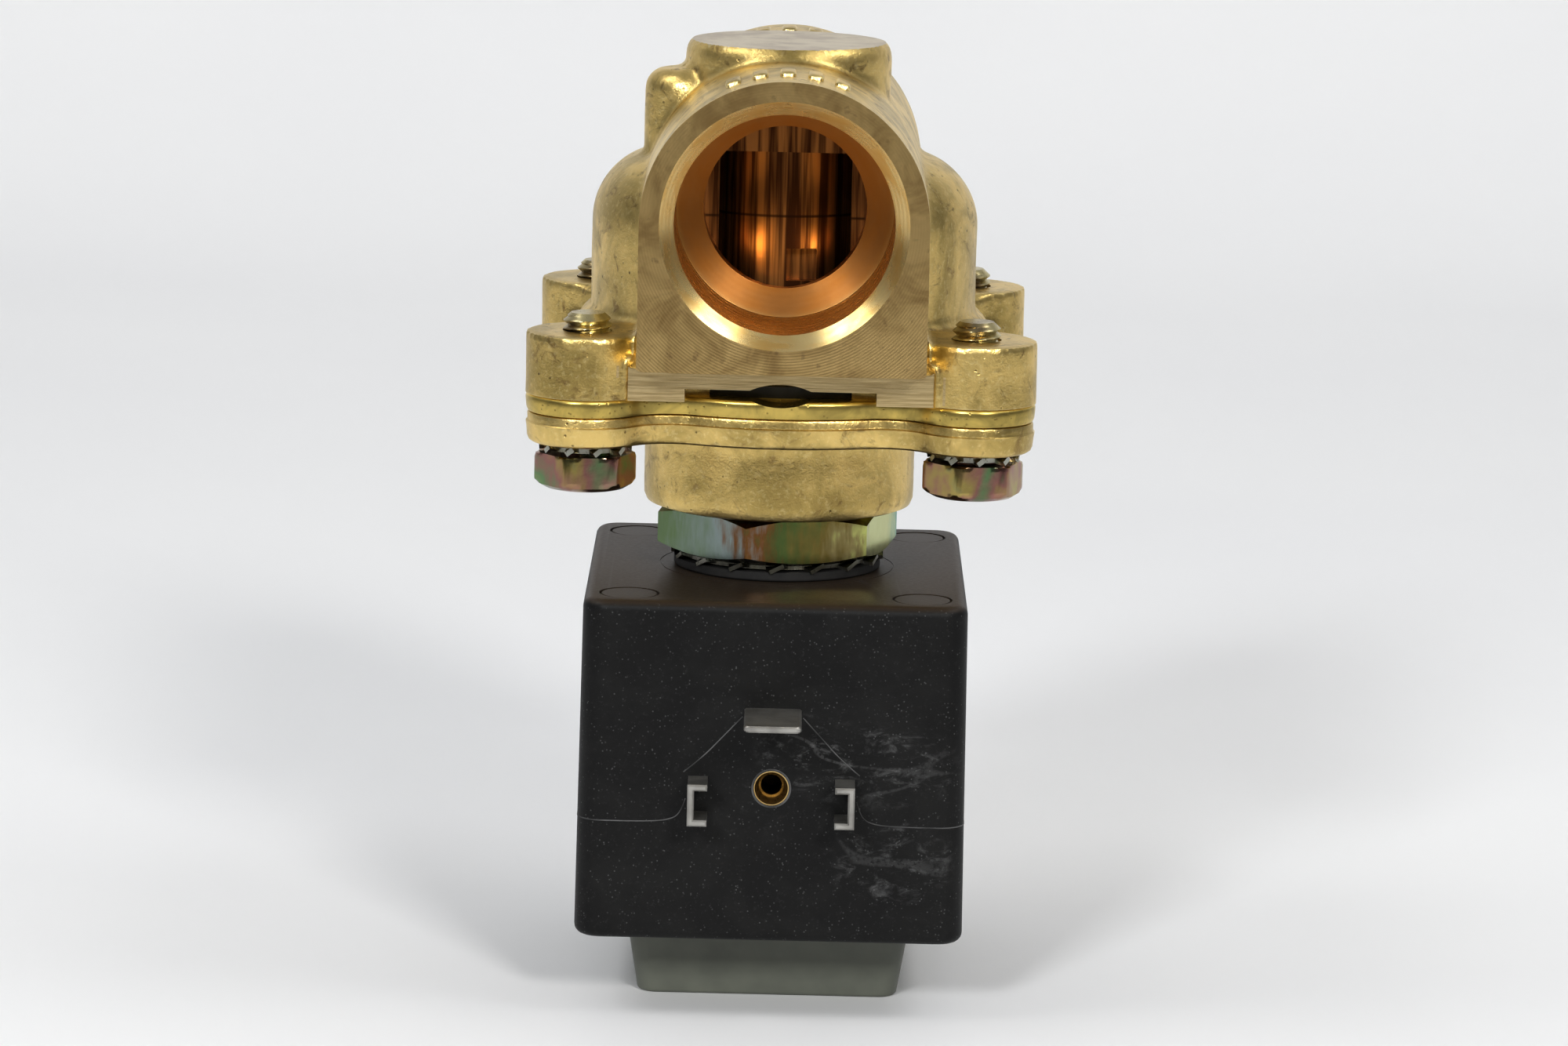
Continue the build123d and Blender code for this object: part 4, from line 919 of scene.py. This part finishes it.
# %% The cover
RIDGE_Z = 73.4
cover_levels = [
    (COVER_LOW + 11.0, -0.75), (COVER_LOW + 11.25, -0.38), (COVER_LOW + 11.7, -0.2), (RIDGE_Z - 0.5, -0.08),
    (RIDGE_Z - 0.15, -0.01), (RIDGE_Z + 0.05, 0.0), (RIDGE_Z + 0.2, -0.16), (RIDGE_Z + 0.45, -0.2),
    (COVER_HIGH - 0.35, -0.18), (COVER_HIGH - 0.12, -0.26), (COVER_HIGH, -0.45),
]
cover = lobed_slab("cover_casting", cover_levels, 0.12, 5.0)
BOSS_R, RIB_PITCH = 16.95, 0.9
THREAD_R, THREAD_TOP, GUIDE_R, GUIDE_TOP = 10.05, 65.5, 8.2, 66.7
ROOM_R, ROOM_LOW = 13.0, 69.7
boss_profile = [(0, COVER_LOW), (BOSS_R - 1.1, COVER_LOW), (BOSS_R - 0.35, COVER_LOW + 0.28)]
boss_profile += [(BOSS_R - 0.05, COVER_LOW + 1.0)]
boss_profile += [(BOSS_R - 0.02 * (i % 2), COVER_LOW + 1.0 + i * RIB_PITCH) for i in range(1, 9)]
boss_profile += [(BOSS_R + 0.2, COVER_LOW + 9.6), (BOSS_R + 0.8, COVER_LOW + 10.6)]
boss_profile += [(BOSS_R + 1.9, COVER_LOW + 11.1), (BOSS_R + 1.9, COVER_LOW + 12), (0, COVER_LOW + 12)]
carve(cover, [turned("cover_boss", boss_profile, 128)], "UNION")
inner = [(0, 50), (THREAD_R, 50), (THREAD_R, THREAD_TOP), (GUIDE_R, THREAD_TOP), (GUIDE_R, GUIDE_TOP)]
carve(cover, [turned("thread_bore", inner + [(0, GUIDE_TOP)]), drum("spring_room", ROOM_R, ROOM_LOW, 80)])
carve(cover, bolt_pins(CLEAR_HOLE_R, 60, 80))
shade(cover, 34)
put_on(cover, "valve", "cast_brass", "cover", material=COVER_SKIN)

# %% The intermediate plate
plate_levels = [
    (COVER_HIGH, -0.5), (COVER_HIGH + 0.12, -0.28), (COVER_HIGH + 0.5, -0.12), (COVER_HIGH + 1.2, -0.04),
    (PLATE_HIGH - 0.55, 0.0), (PLATE_HIGH - 0.2, -0.1), (PLATE_HIGH - 0.04, -0.28), (PLATE_HIGH, -0.45),
]
plate = lobed_slab("intermediate_plate_rolled", plate_levels, 0.07, 9.0)
plate_cuts = [drum("plate_bore", ROOM_R, BELOW, 80)]
plate_cuts += [end_lens("plate_lens", side, 24, PLATE_HIGH - 0.75 + LENS_R) for side in (-1, 1)]
carve(plate, plate_cuts + bolt_pins(CLEAR_HOLE_R, BELOW, 80))
shade(plate, 34)
put_on(plate, "valve", "plate_brass", "intermediate_plate", material=ROLLED)

# %% [markdown]
# ## Bolts and lock washers with Geometry Nodes
# Four equal bolts are one bolt placed four times, so a Geometry Nodes tree puts an instance on each corner
# of a square and turns each by its own angle. The washers' teeth go round a ring in the same way. The trees
# end in Realize Instances and Set Material, and their results are kept as plain meshes.

# %% Geometry tree tools
class GrowthTree(Tree):
    """A Geometry Nodes tree whose inputs are things, sizes, counts and a material."""

    def __init__(self, name, things=(), sizes=(), counts=()):
        super().__init__(bpy.data.node_groups.new(name, "GeometryNodeTree"))
        kinds = {"NodeSocketObject": things, "NodeSocketFloat": sizes, "NodeSocketInt": counts}
        kinds["NodeSocketMaterial"] = ("Material",)
        for kind, labels in kinds.items():
            for label in labels:
                self.tree.interface.new_socket(label, in_out="INPUT", socket_type=kind)
        self.tree.interface.new_socket("Geometry", in_out="OUTPUT", socket_type="NodeSocketGeometry")
        self.inputs = self.tree.nodes.new("NodeGroupInput")
        self.output = self.tree.nodes.new("NodeGroupOutput")

    def given(self, label):
        """One of the tree's own inputs."""
        return Wire(self, self.inputs.outputs[label])

    def placed(self, pattern, points, turn):
        """The pattern object on every point, turned about its own origin."""
        source = self.node("GeometryNodeObjectInfo", sockets={0: self.given(pattern)}, out=4)
        return self.node("GeometryNodeInstanceOnPoints", sockets={0: points, 2: source, 5: turn})

    def upright(self, height):
        """A vector that points straight up."""
        return self.node("ShaderNodeCombineXYZ", sockets={2: height})

    def ends(self, geometry):
        """Realize the instances, set the material and connect the output."""
        real = self.node("GeometryNodeRealizeInstances", sockets={0: geometry})
        done = self.node("GeometryNodeSetMaterial", sockets={0: real, "Material": self.given("Material")})
        self.tree.links.new(done.socket, self.output.inputs[0])


def grown(name, growth, values):
    """Run a geometry tree once on an empty mesh and keep the result as a plain mesh."""
    host = bpy.data.objects.new(name, bpy.data.meshes.new(name))
    scene.collection.objects.link(host)
    run = host.modifiers.new("grow", "NODES")
    run.node_group = growth.tree
    for item in growth.tree.interface.items_tree:
        if item.in_out == "INPUT" and item.name in values:
            run[item.identifier] = values[item.name]
    return settle(host)


print("geometry tree tools ready")

# %% One bolt, then four
BOLT_R, BOLT_PITCH, HEAD_AF, HEAD_H = 3.0, 1.0, 11.0, 4.35
THREAD_START, THREAD_DEPTH = 9.0, 0.58
HEAD_LEVELS = (
    (0.0, 4.5), (0.12, 4.95), (0.55, 5.75), (0.95, 6.2), (1.25, 9), (3.75, 9), (4.2, 6.1), (HEAD_H, 5.7),
)


def one_bolt():
    """A hexagon bolt along Z with its head at the bottom, in millimetres from the head's lower face."""
    corner = HEAD_AF / 2 / cos(pi / 6)
    rings = []
    for height, limit in HEAD_LEVELS:
        ring = []
        for i in range(72):
            angle = tau * i / 72
            fold = (angle % (pi / 3)) - pi / 6
            reach = min(HEAD_AF / 2 / cos(fold), corner - 0.12, limit)
            ring.append((reach * cos(angle), reach * sin(angle), height))
        rings.append(ring)
    head = loft("head", rings)
    total = BOLT_HIGH - BOLT_LOW
    threaded = total - THREAD_START
    levels = int(threaded / BOLT_PITCH * 10)
    heights = [HEAD_H - 0.2, THREAD_START - 0.2]
    heights += [THREAD_START + threaded * i / levels for i in range(levels + 1)]
    rings = []
    for height in heights:
        ring = []
        for i in range(48):
            turn = i / 48
            crest = abs(((height / BOLT_PITCH - turn) % 1.0) - 0.5) * 2
            groove = THREAD_DEPTH * max(0.0, 1 - crest * 1.15) if height >= THREAD_START else 0
            radius = min(BOLT_R - 0.02 - groove, BOLT_R - 0.95 + (total - height) * 1.1)
            ring.append((radius * cos(tau * turn), radius * sin(tau * turn), height))
        rings.append(ring)
    carve(head, [loft("shank", rings)], "UNION")
    return shade(head, 30)


bolt_tree = GrowthTree("bolts_on_a_square", ("Bolt",), ("Pitch", "Height", "First turn", "Turn step"))
pitch, index = bolt_tree.given("Pitch"), bolt_tree.node("GeometryNodeInputIndex")
square = bolt_tree.node("GeometryNodeMeshGrid", sockets={0: pitch, 1: pitch, 2: 2, 3: 2})
lift = bolt_tree.upright(bolt_tree.given("Height"))
raised = bolt_tree.node("GeometryNodeTransform", sockets={0: square, "Translation": lift})
spin = bolt_tree.upright(bolt_tree.given("First turn") + index * bolt_tree.given("Turn step"))
bolt_tree.ends(bolt_tree.placed("Bolt", raised, spin))
pattern = one_bolt()
values = {"Bolt": pattern, "Pitch": 2 * BOLT_X * MM, "Height": BOLT_LOW * MM, "Material": BOLT_FILM}
values |= {"First turn": radians(8.0), "Turn step": radians(31.0)}
bolts = grown("cover_bolts_threaded", bolt_tree, values)
bpy.data.objects.remove(pattern)
coat(bolts, (BOLT_FILM, THREAD_FILM), lambda centre, normal: int(centre.z > WASHER_HIGH + 2))
shade(bolts, 30)
put_on(bolts, "valve", "chromated_steel", "cover_bolts")

# %% Lock washers
washer_tree = GrowthTree("toothed_washer", ("Tooth",), ("Radius",), ("Teeth",))
count, radius = washer_tree.given("Teeth"), washer_tree.given("Radius")
rim = washer_tree.node("GeometryNodeMeshCircle", sockets={0: count, 1: radius})
spin = washer_tree.upright(washer_tree.node("GeometryNodeInputIndex") * tau / count)
washer_tree.ends(washer_tree.placed("Tooth", rim, spin))


def tooth(length, width, thickness, twist):
    """One flat tooth along X, twisted about its own length so that its corners bite."""
    rings = []
    for i in range(5):
        share = i / 4
        angle = radians(twist) * share
        wide = width * (1 - 0.35 * share)
        ring = []
        for across, up in ((-1, -1), (1, -1), (1, 1), (-1, 1)):
            a, u = across * wide / 2, up * thickness / 2
            ring.append((length * share, a * cos(angle) - u * sin(angle), a * sin(angle) + u * cos(angle)))
        rings.append(ring)
    return loft("tooth", rings)


def toothed_ring(name, teeth_count, inner, root, outer, thickness, twist, centre_z):
    """A washer: a flat ring with twisted teeth round its outside."""
    pattern = tooth(outer - root + 0.4, tau * root / teeth_count * 0.62, thickness, twist)
    values = {"Teeth": teeth_count, "Radius": (root - 0.4) * MM, "Tooth": pattern, "Material": TOOTH_ZINC}
    teeth = grown(name, washer_tree, values)
    bpy.data.objects.remove(pattern)
    ring = gathered(name, [teeth, pipe("band", inner, root, -thickness / 2, thickness / 2, 72)])
    ring.data.transform(Matrix.Translation((0, 0, centre_z * MM)))
    return ring


washer_mid = (WASHER_LOW + WASHER_HIGH) / 2
one_washer = toothed_ring("lock_washer", 10, 3.2, 4.5, 5.65, 0.62, 38, washer_mid)
copies = []
for x, y in BOLT_CORNERS:
    copy = bpy.data.objects.new("lock_washer", one_washer.data.copy())
    own_turn = Matrix.Rotation(x * 0.05 + y * 0.03, 4, "Z")
    copy.data.transform(Matrix.Translation((x * MM, y * MM, 0)) @ own_turn)
    copies.append(copy)
bpy.data.objects.remove(one_washer)
washers = gathered("lock_washers_toothed", copies)
put_on(washers, "valve", "tooth_steel", "lock_washers", material=TOOTH_ZINC)

tube_mid = (low("tube_lock_washer").z + high("tube_lock_washer").z) / 2
tube_washer = toothed_ring("tube_lock_washer_toothed", 16, 7.3, 12.2, 13.35, 0.5, 26, tube_mid)
put_on(tube_washer, "valve", "tooth_steel", "tube_lock_washer", material=TOOTH_ZINC)

# %% [markdown]
# ## Springs and winding
# A coil spring is a circle swept along a spiral. One tree makes both springs; each sits between the fixed
# part and the part that it pushes. The winding is a stack of copper rings, one ring of wire for each visible
# turn.

# %% Springs
spring_tree = GrowthTree("coil_spring", sizes=("Turns", "Radius", "Height", "Wire", "Base"))
radius = spring_tree.given("Radius")
sockets = {0: 28, 1: spring_tree.given("Turns"), 2: radius, 3: radius, 4: spring_tree.given("Height")}
spiral = spring_tree.node("GeometryNodeCurveSpiral", sockets=sockets)
section = spring_tree.node("GeometryNodeCurvePrimitiveCircle", sockets={0: 12, 4: spring_tree.given("Wire")})
wire = spring_tree.node("GeometryNodeCurveToMesh", sockets={0: spiral, 1: section, "Fill Caps": True})
lift = spring_tree.upright(spring_tree.given("Base"))
spring_tree.ends(spring_tree.node("GeometryNodeTransform", sockets={0: wire, "Translation": lift}))


def spring(name, node, turns, wire_r):
    """A spring where its CAD node is, reaching from the bottom of the node's box to its top."""
    bottom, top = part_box(node)
    radius = (top.x - bottom.x) / 2 / MM - wire_r
    values = {"Turns": turns, "Radius": radius * MM, "Height": top.z - bottom.z - 2 * wire_r * MM,
              "Wire": wire_r * MM, "Base": bottom.z + wire_r * MM, "Material": STAINLESS}
    made = shade(grown(name, spring_tree, values), 60)
    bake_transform(made)
    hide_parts(node)
    print("spring", name, "radius", round(radius, 2), "mm")
    return made


spring("diaphragm_spring_coiled", "diaphragm_spring", 4.0, 0.5)
spring("plunger_spring_coiled", "plunger_spring", 6.0, 0.3)

# %% The winding
winding_tree = GrowthTree("stacked_turns", (), ("Radius", "Pitch", "Wire", "Base"), ("Turns",))
loop = winding_tree.node("GeometryNodeCurvePrimitiveCircle", sockets={0: 96, 4: winding_tree.given("Radius")})
section = winding_tree.node("GeometryNodeCurvePrimitiveCircle", sockets={0: 8, 4: winding_tree.given("Wire")})
turn_mesh = winding_tree.node("GeometryNodeCurveToMesh", sockets={0: loop, 1: section})
base, step = (winding_tree.upright(winding_tree.given(label)) for label in ("Base", "Pitch"))
sockets = {0: winding_tree.given("Turns"), 2: base, 3: step}
stack = winding_tree.node("GeometryNodeMeshLine", {"mode": "OFFSET"}, sockets)
winding_tree.ends(winding_tree.node("GeometryNodeInstanceOnPoints", sockets={0: stack, 2: turn_mesh}))
WIRE_R, CORE_R = 0.3, 8.6
bottom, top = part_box("winding")
turns = int((top.z - bottom.z) / MM / (2 * WIRE_R))
outer_r = top.x / MM
values = {"Turns": turns, "Radius": (outer_r - WIRE_R) * MM, "Wire": WIRE_R * MM, "Material": COPPER}
values |= {"Pitch": (top.z - bottom.z - 2 * WIRE_R * MM) / (turns - 1), "Base": bottom.z + WIRE_R * MM}
core = pipe("winding_core", CORE_R, outer_r - WIRE_R, bottom.z / MM, top.z / MM)
winding = gathered("winding_turns", [grown("winding_turns", winding_tree, values), core])
put_on(shade(winding, 60), "coil", "copper", "winding", material=COPPER)

# %% [markdown]
# ## The diaphragm
# The rubber is clamped at its rim and bolted to the discs in the middle, and the sloping part between them
# rolls.

# %% Rubber diaphragm
bottom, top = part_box("diaphragm")
RIM_LOW, RIM_HIGH, PAD_LOW, PAD_HIGH = bottom.z / MM, 78.4, 80.2, top.z / MM
RUBBER_R, SCREW_R = 25.5, 2.55
SLOPE_TOP_R, SLOPE_LOW_R, SLOPE_RUN = 19.2, 18.9, 6.6
slope = [(share, share * share * (3 - 2 * share)) for share in (0.15, 0.3, 0.45, 0.6, 0.75, 0.9)]
upper_side = [(SLOPE_TOP_R - SLOPE_RUN * s, RIM_HIGH + (PAD_HIGH - RIM_HIGH) * e) for s, e in slope]
lower_side = [(SLOPE_LOW_R - SLOPE_RUN * s, RIM_LOW + (PAD_LOW - RIM_LOW) * e) for s, e in slope]
profile = [(RUBBER_R, RIM_LOW), (RUBBER_R, RIM_HIGH), (SLOPE_TOP_R, RIM_HIGH)] + upper_side
profile += [(SLOPE_TOP_R - SLOPE_RUN, PAD_HIGH), (SCREW_R, PAD_HIGH), (SCREW_R, PAD_LOW)]
profile += [(SLOPE_LOW_R - SLOPE_RUN, PAD_LOW)] + lower_side[::-1] + [(SLOPE_LOW_R, RIM_LOW)]
membrane = shade(turned("diaphragm_rubber", profile, 128, ring=True), 50)
membrane.data.materials.append(RUBBER)
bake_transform(membrane)
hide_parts("diaphragm")
print("diaphragm", len(membrane.data.polygons), "faces")

# %% [markdown]
# ## The coil
# The moulded block is lofted through rounded rectangles. It is narrower towards its top, and smaller
# rectangles at both ends round its edges. Round ejector marks are cut into the top. A fine raised line
# shows where the mould's parts met. It runs round the whole block, turns up to the line terminals on the
# face and climbs from them to the earth blade.

# %% The moulded block
def rounded_ring(half_x, half_y, corner, height, steps=10):
    """A rounded rectangle as a ring of points."""
    ring = []
    for cx, cy, start in ((1, -1, -pi / 2), (1, 1, 0), (-1, 1, pi / 2), (-1, -1, pi)):
        for i in range(steps + 1):
            angle = start + pi / 2 * i / steps
            x, y = cx * (half_x - corner) + corner * cos(angle), cy * (half_y - corner) + corner * sin(angle)
            ring.append((x, y, height))
    return ring


def moulded_block(name, bottom, top, half_low, half_high, half_y, corner, edge, steps=6):
    """A tapered block with rounded edges all round."""
    rings = []
    for i in range(steps + 1):
        angle = pi / 2 * i / steps
        inset, rise = edge * (1 - sin(angle)), edge * (1 - cos(angle))
        inner = max(corner - inset, 0.3)
        rings.append(rounded_ring(half_low - inset, half_y - inset, inner, bottom + rise))
    for i in range(1, 8):
        share = i / 8
        half = half_low + (half_high - half_low) * share
        rings.append(rounded_ring(half, half_y, corner, bottom + edge + (top - bottom - 2 * edge) * share))
    for i in range(steps + 1):
        angle = pi / 2 * i / steps
        inset, rise = edge * (1 - cos(angle)), edge * sin(angle)
        inner = max(corner - inset, 0.3)
        rings.append(rounded_ring(half_high - inset, half_y - inset, inner, top - edge + rise))
    return loft(name, rings)


block_low, block_high = COIL_LOW.z, COIL_HIGH.z
half_y, bottom_half = COIL_HIGH.y, COIL_HIGH.x
COIL_TOP_HALF, COIL_CORNER, COIL_EDGE = 23.55, 3.2, 1.2
coil = moulded_block(
    "coil_housing_moulded", block_low, block_high, bottom_half, COIL_TOP_HALF, half_y, COIL_CORNER, COIL_EDGE
)
MARK_R, MARK_RIM_R, ARC_R, ARC_RIM_R = 3.4, 3.7, 14.6, 14.75
TUBE_HOLE_R, INSERT_HOLE_R, CONNECTOR_Z = 7.07, 2.25, 29.0
INSERT_PLACE = Matrix.Translation((0, 0, CONNECTOR_Z)) @ Matrix.Rotation(pi / 2, 4, "X")
marks = []
for x, y in ((-18, -22), (18, -22), (-18, 21), (18, 21)):
    place = Matrix.Translation((x, y, 0))
    marks.append(pipe("mark", MARK_R, MARK_RIM_R, block_high - 0.3, block_high + 1, 48, place))
    marks.append(drum("dip", MARK_R, block_high - 0.05, block_high + 1, 48, place))
marks.append(pipe("arc_mark", ARC_R, ARC_RIM_R, block_high - 0.06, block_high + 1))
marks.append(drum("tube_bore", TUBE_HOLE_R, 0, 60))
marks.append(block("cavity", (-16.2, -16.2, block_low + 2), (16.2, 19.3, block_high - 2)))
marks.append(drum("insert_hole", INSERT_HOLE_R, 19, 35, 48, INSERT_PLACE))
carve(coil, marks)
shade(coil, 30)
put_on(coil, "coil", "coil_plastic", "coil_housing", material=COIL_BLACK)

# %% The screw insert
profile = [(0, 19), (2.22, 19), (2.22, 27.62), (2.14, 27.69), (2.04, 27.69)]
profile += [(1.62, 25.9), (1.5, 25.75), (1.28, 25.5)]
profile += [(1.28 if i % 2 else 1.36, 25.3 - 0.25 * i) for i in range(20)]
profile += [(1.28, 19.9), (0, 19.6)]
insert = shade(turned("screw_insert_turned", profile, 64, place=INSERT_PLACE), 40)


def insert_finish(centre, normal):
    """1, the dark finish, on the thread and at the bottom of the hole; 0 elsewhere."""
    return int(hypot(centre.x, centre.z - CONNECTOR_Z) < 1.4 and centre.y > -25.45)


coat(insert, (TURNED, DEEP), insert_finish)
put_on(insert, "coil", "machined_brass", "screw_insert")

# %% Mould line and flash ring
line_tree = GrowthTree("raised_line", ("Line",), ("Half width",))
route = line_tree.node("GeometryNodeObjectInfo", sockets={0: line_tree.given("Line")}, out=4)
smooth = line_tree.node("GeometryNodeResampleCurve", sockets={0: route, "Count": 240})
section = line_tree.node("GeometryNodeCurvePrimitiveCircle", sockets={0: 6, 4: line_tree.given("Half width")})
line_tree.ends(line_tree.node("GeometryNodeCurveToMesh", sockets={0: smooth, 1: section, "Fill Caps": True}))
FACE_Y = -half_y
LINE_Z = 24.5
risen = (LINE_Z - block_low - COIL_EDGE) / (block_high - block_low - 2 * COIL_EDGE)
wall_x = bottom_half + (COIL_TOP_HALF - bottom_half) * risen


def corner(side, front):
    """Points round one upright corner of the block, from its side wall to its front or back."""
    points = []
    for turn in (pi / 2 * i / 6 for i in range(7)):
        inward, back = COIL_CORNER * (1 - cos(turn)), COIL_CORNER * (1 - sin(turn))
        points.append((side * (wall_x - inward), front * (half_y - back), LINE_Z))
    return points


def raised_line(points):
    """A thin bead along a smooth curve through the points."""
    curve = bpy.data.curves.new("route", "CURVE")
    curve.dimensions = "3D"
    spline = curve.splines.new("NURBS")
    spline.points.add(len(points) - 1)
    for point, place in zip(spline.points, points):
        point.co = (Vector(place) * MM).to_4d()
    spline.order_u = 3
    spline.use_endpoint_u = True
    holder = bpy.data.objects.new("route", curve)
    scene.collection.objects.link(holder)
    values = {"Line": holder, "Half width": 0.085 * MM, "Material": CHALK}
    bead = grown("mould_line_part", line_tree, values)
    bpy.data.objects.remove(holder)
    return bead


line_parts = []
for side in (-1, 1):
    on_face = [(16, LINE_Z), (12.6, LINE_Z + 0.2), (11.0, LINE_Z + 1.1), (10.5, LINE_Z + 3)]
    around = [(0, half_y, LINE_Z)] + corner(side, 1)[::-1] + corner(side, -1)
    climb = [(10.8, 30.8), (8.6, 32.6), (6.2, 35.2), (3.7, 37.9)]
    line_parts.append(raised_line(around + [(side * x, FACE_Y, z) for x, z in on_face]))
    line_parts.append(raised_line([(side * x, FACE_Y, z) for x, z in climb]))
on_hole = Matrix.Translation((0, FACE_Y, CONNECTOR_Z)) @ Matrix.Rotation(pi / 2, 4, "X")
flash_profile = [(2.2, -0.1), (2.42, -0.05), (2.45, 0.06), (2.34, 0.14), (2.2, 0.12)]
line_parts.append(turned("flash", flash_profile, 64, ring=True, place=on_hole))
mould_line = gathered("mould_line_and_flash", line_parts)
put_on(shade(mould_line, 60), "coil", "coil_plastic", material=CHALK)

# %% [markdown]
# ## Relief on the hubs
# The real hubs carry raised cast characters. Lettering is left out; a row of plain raised blocks takes its
# place. A tree sets one block on each point of an arc and turns it to stand square on the hub's crown.

# %% Relief blocks
crown_sizes = ("Radius", "Spread", "Along", "Axis height")
crown_tree = GrowthTree("blocks_on_a_crown", ("Block",), crown_sizes, ("Count",))
points = crown_tree.node("GeometryNodeMeshLine", sockets={0: crown_tree.given("Count")})
share = crown_tree.node("GeometryNodeInputIndex") / (crown_tree.given("Count") - 1) - 0.5
angle = share * crown_tree.given("Spread")
across = angle.math("SINE") * crown_tree.given("Radius")
up = angle.math("COSINE") * crown_tree.given("Radius") + crown_tree.given("Axis height")
where = crown_tree.node("ShaderNodeCombineXYZ", sockets={0: across, 1: crown_tree.given("Along"), 2: up})
moved = crown_tree.node("GeometryNodeSetPosition", sockets={0: points, "Position": where})
spin = crown_tree.node("ShaderNodeCombineXYZ", sockets={1: angle})
crown_tree.ends(crown_tree.placed("Block", moved, spin))
BLOCK_LEVELS = ((0, -0.6), (0.0, 0.35), (0.15, 0.55), (0.4, 0.62))
rings = [rounded_ring(0.95 - inset, 2.3 - inset, 0.5, height, 4) for inset, height in BLOCK_LEVELS]
pattern = loft("relief_block", rings)
rows = []
for along in (-26.5, 26.5):
    values = {"Block": pattern, "Count": 5, "Radius": (HUB_R - 0.12) * MM, "Spread": radians(44)}
    values |= {"Along": along * MM, "Axis height": PORT_Z * MM, "Material": BODY_SKIN}
    rows.append(grown("relief_row", crown_tree, values))
bpy.data.objects.remove(pattern)
relief = gathered("hub_relief_blocks", rows)
put_on(shade(relief, 40), "valve", "cast_brass", material=BODY_SKIN)

# %% [markdown]
# ## Stage, lights and camera
# The valve stands on a pale floor that sweeps up behind it. Two soft lights stand beside the camera, a
# third of a right angle high, and throw the two soft shadows behind the coil. Two weak ones overhead lift
# the faces that look up, and one more washes the backdrop. The ceiling is bright and the room in front
# stays dark, so the machined faces that look that way turn brown, as polished metal does.

# %% Floor and backdrop
def backdrop():
    """A pale sheet: flat under the object, then curving up behind it."""
    wide, front, back, rise, bend = 1600.0, -420.0, 900.0, 900.0, 300.0
    profile = [(front, 0.0), (back - bend, 0.0)]
    angles = [pi / 2 * i / 12 for i in range(1, 13)]
    profile += [(back - bend + bend * sin(a), bend * (1 - cos(a))) for a in angles]
    profile += [(back, rise)]
    bm = bmesh.new()
    rows = [[bm.verts.new((x, y, z - 0.02)) for x in (-wide, wide)] for y, z in profile]
    for near, far in zip(rows, rows[1:]):
        bm.faces.new((near[0], near[1], far[1], far[0]))
    bm.normal_update()
    bm.transform(Matrix.Scale(MM, 4))
    mesh = bpy.data.meshes.new("backdrop")
    bm.to_mesh(mesh)
    bm.free()
    mesh.shade_smooth()
    made = bpy.data.objects.new("backdrop", mesh)
    scene.collection.objects.link(made)
    paper = Finish("pale_paper", Metallic=0.0)
    clouds = paper.noise(120, 2, 0.5, seed=111)
    colour = paper.mix(clouds, (0.86, 0.86, 0.87), (0.90, 0.90, 0.90))
    made.data.materials.append(paper.finish(colour, clouds * 0.05 + 0.6))
    return made


backdrop()


# %% Lights
def soft_light(name, place, aim, wide, tall, watts, colour=(1, 1, 1)):
    """An area light at a place in millimetres, turned to its aim."""
    data = bpy.data.lights.new(name, "AREA")
    data.shape = "RECTANGLE"
    data.size, data.size_y = wide * MM, tall * MM
    data.energy = watts
    data.color = colour
    made = bpy.data.objects.new(name, data)
    made.location = Vector(place) * MM
    made.rotation_euler = (Vector(aim) - Vector(place)).to_track_quat("-Z", "Y").to_euler()
    scene.collection.objects.link(made)
    return made


CENTRE = (0, 0, 60)
soft_light("left_softbox", (-860, -2000, 1230), CENTRE, 420, 420, 21.0, (0.97, 0.985, 1.0))
soft_light("right_softbox", (860, -2000, 1230), CENTRE, 420, 420, 21.0, (1.0, 0.985, 0.955))
backdrop_light = soft_light("backdrop_light", (0, 760, 1500), (0, 800, 0), 1500, 500, 0.35)
backdrop_light.data.spread = radians(50)
for side, hand in ((-1, "left"), (1, "right")):
    soft_light(f"overhead_{hand}", (430 * side, -110, 640), (0, 0, 99), 280, 280, 0.8)


def studio_sky():
    """A bright ceiling, walls behind and beside the object, and a dark room in front of it."""
    world = bpy.data.worlds.new("studio")
    world.use_nodes = True
    sky = Tree(world.node_tree)
    direction = sky.node("ShaderNodeTexCoord", out=0)
    along = sky.node("ShaderNodeSeparateXYZ", sockets={0: direction}, out=1)
    upward = sky.node("ShaderNodeSeparateXYZ", sockets={0: direction}, out=2)
    level = along.step(-0.7, 0.2) * 0.17 + upward.step(0.15, 0.8) * 0.19 + 0.04
    background = world.node_tree.nodes["Background"]
    background.inputs[0].default_value = (0.96, 0.98, 1.0, 1)
    world.node_tree.links.new(level.socket, background.inputs[1])
    return world


scene.world = studio_sky()
scene.view_settings.view_transform = "Standard"
scene.view_settings.exposure = 0.3
scene.view_settings.gamma = 0.86

# %% Camera
PITCH, ROLL, DISTANCE, LENS = radians(10.13), radians(1.38), 800.1, 145.76
AIM = Vector((0.78, 0, 57.1))
forward = Vector((0, cos(PITCH), -sin(PITCH)))
up = Vector((0, sin(PITCH), cos(PITCH)))
right = Vector((1, 0, 0))
tilted_right = right * cos(ROLL) + up * sin(ROLL)
tilted_up = up * cos(ROLL) - right * sin(ROLL)
camera = bpy.data.objects.new("camera", bpy.data.cameras.new("camera"))
camera.data.lens = LENS
camera.data.sensor_width = 36.0
camera.data.clip_start = 0.05
axes = Matrix((tilted_right, tilted_up, -forward)).transposed().to_4x4()
camera.matrix_world = Matrix.Translation((AIM - forward * DISTANCE) * MM) @ axes
scene.collection.objects.link(camera)
scene.camera = camera
print("camera at", [round(v, 3) for v in camera.matrix_world.translation])
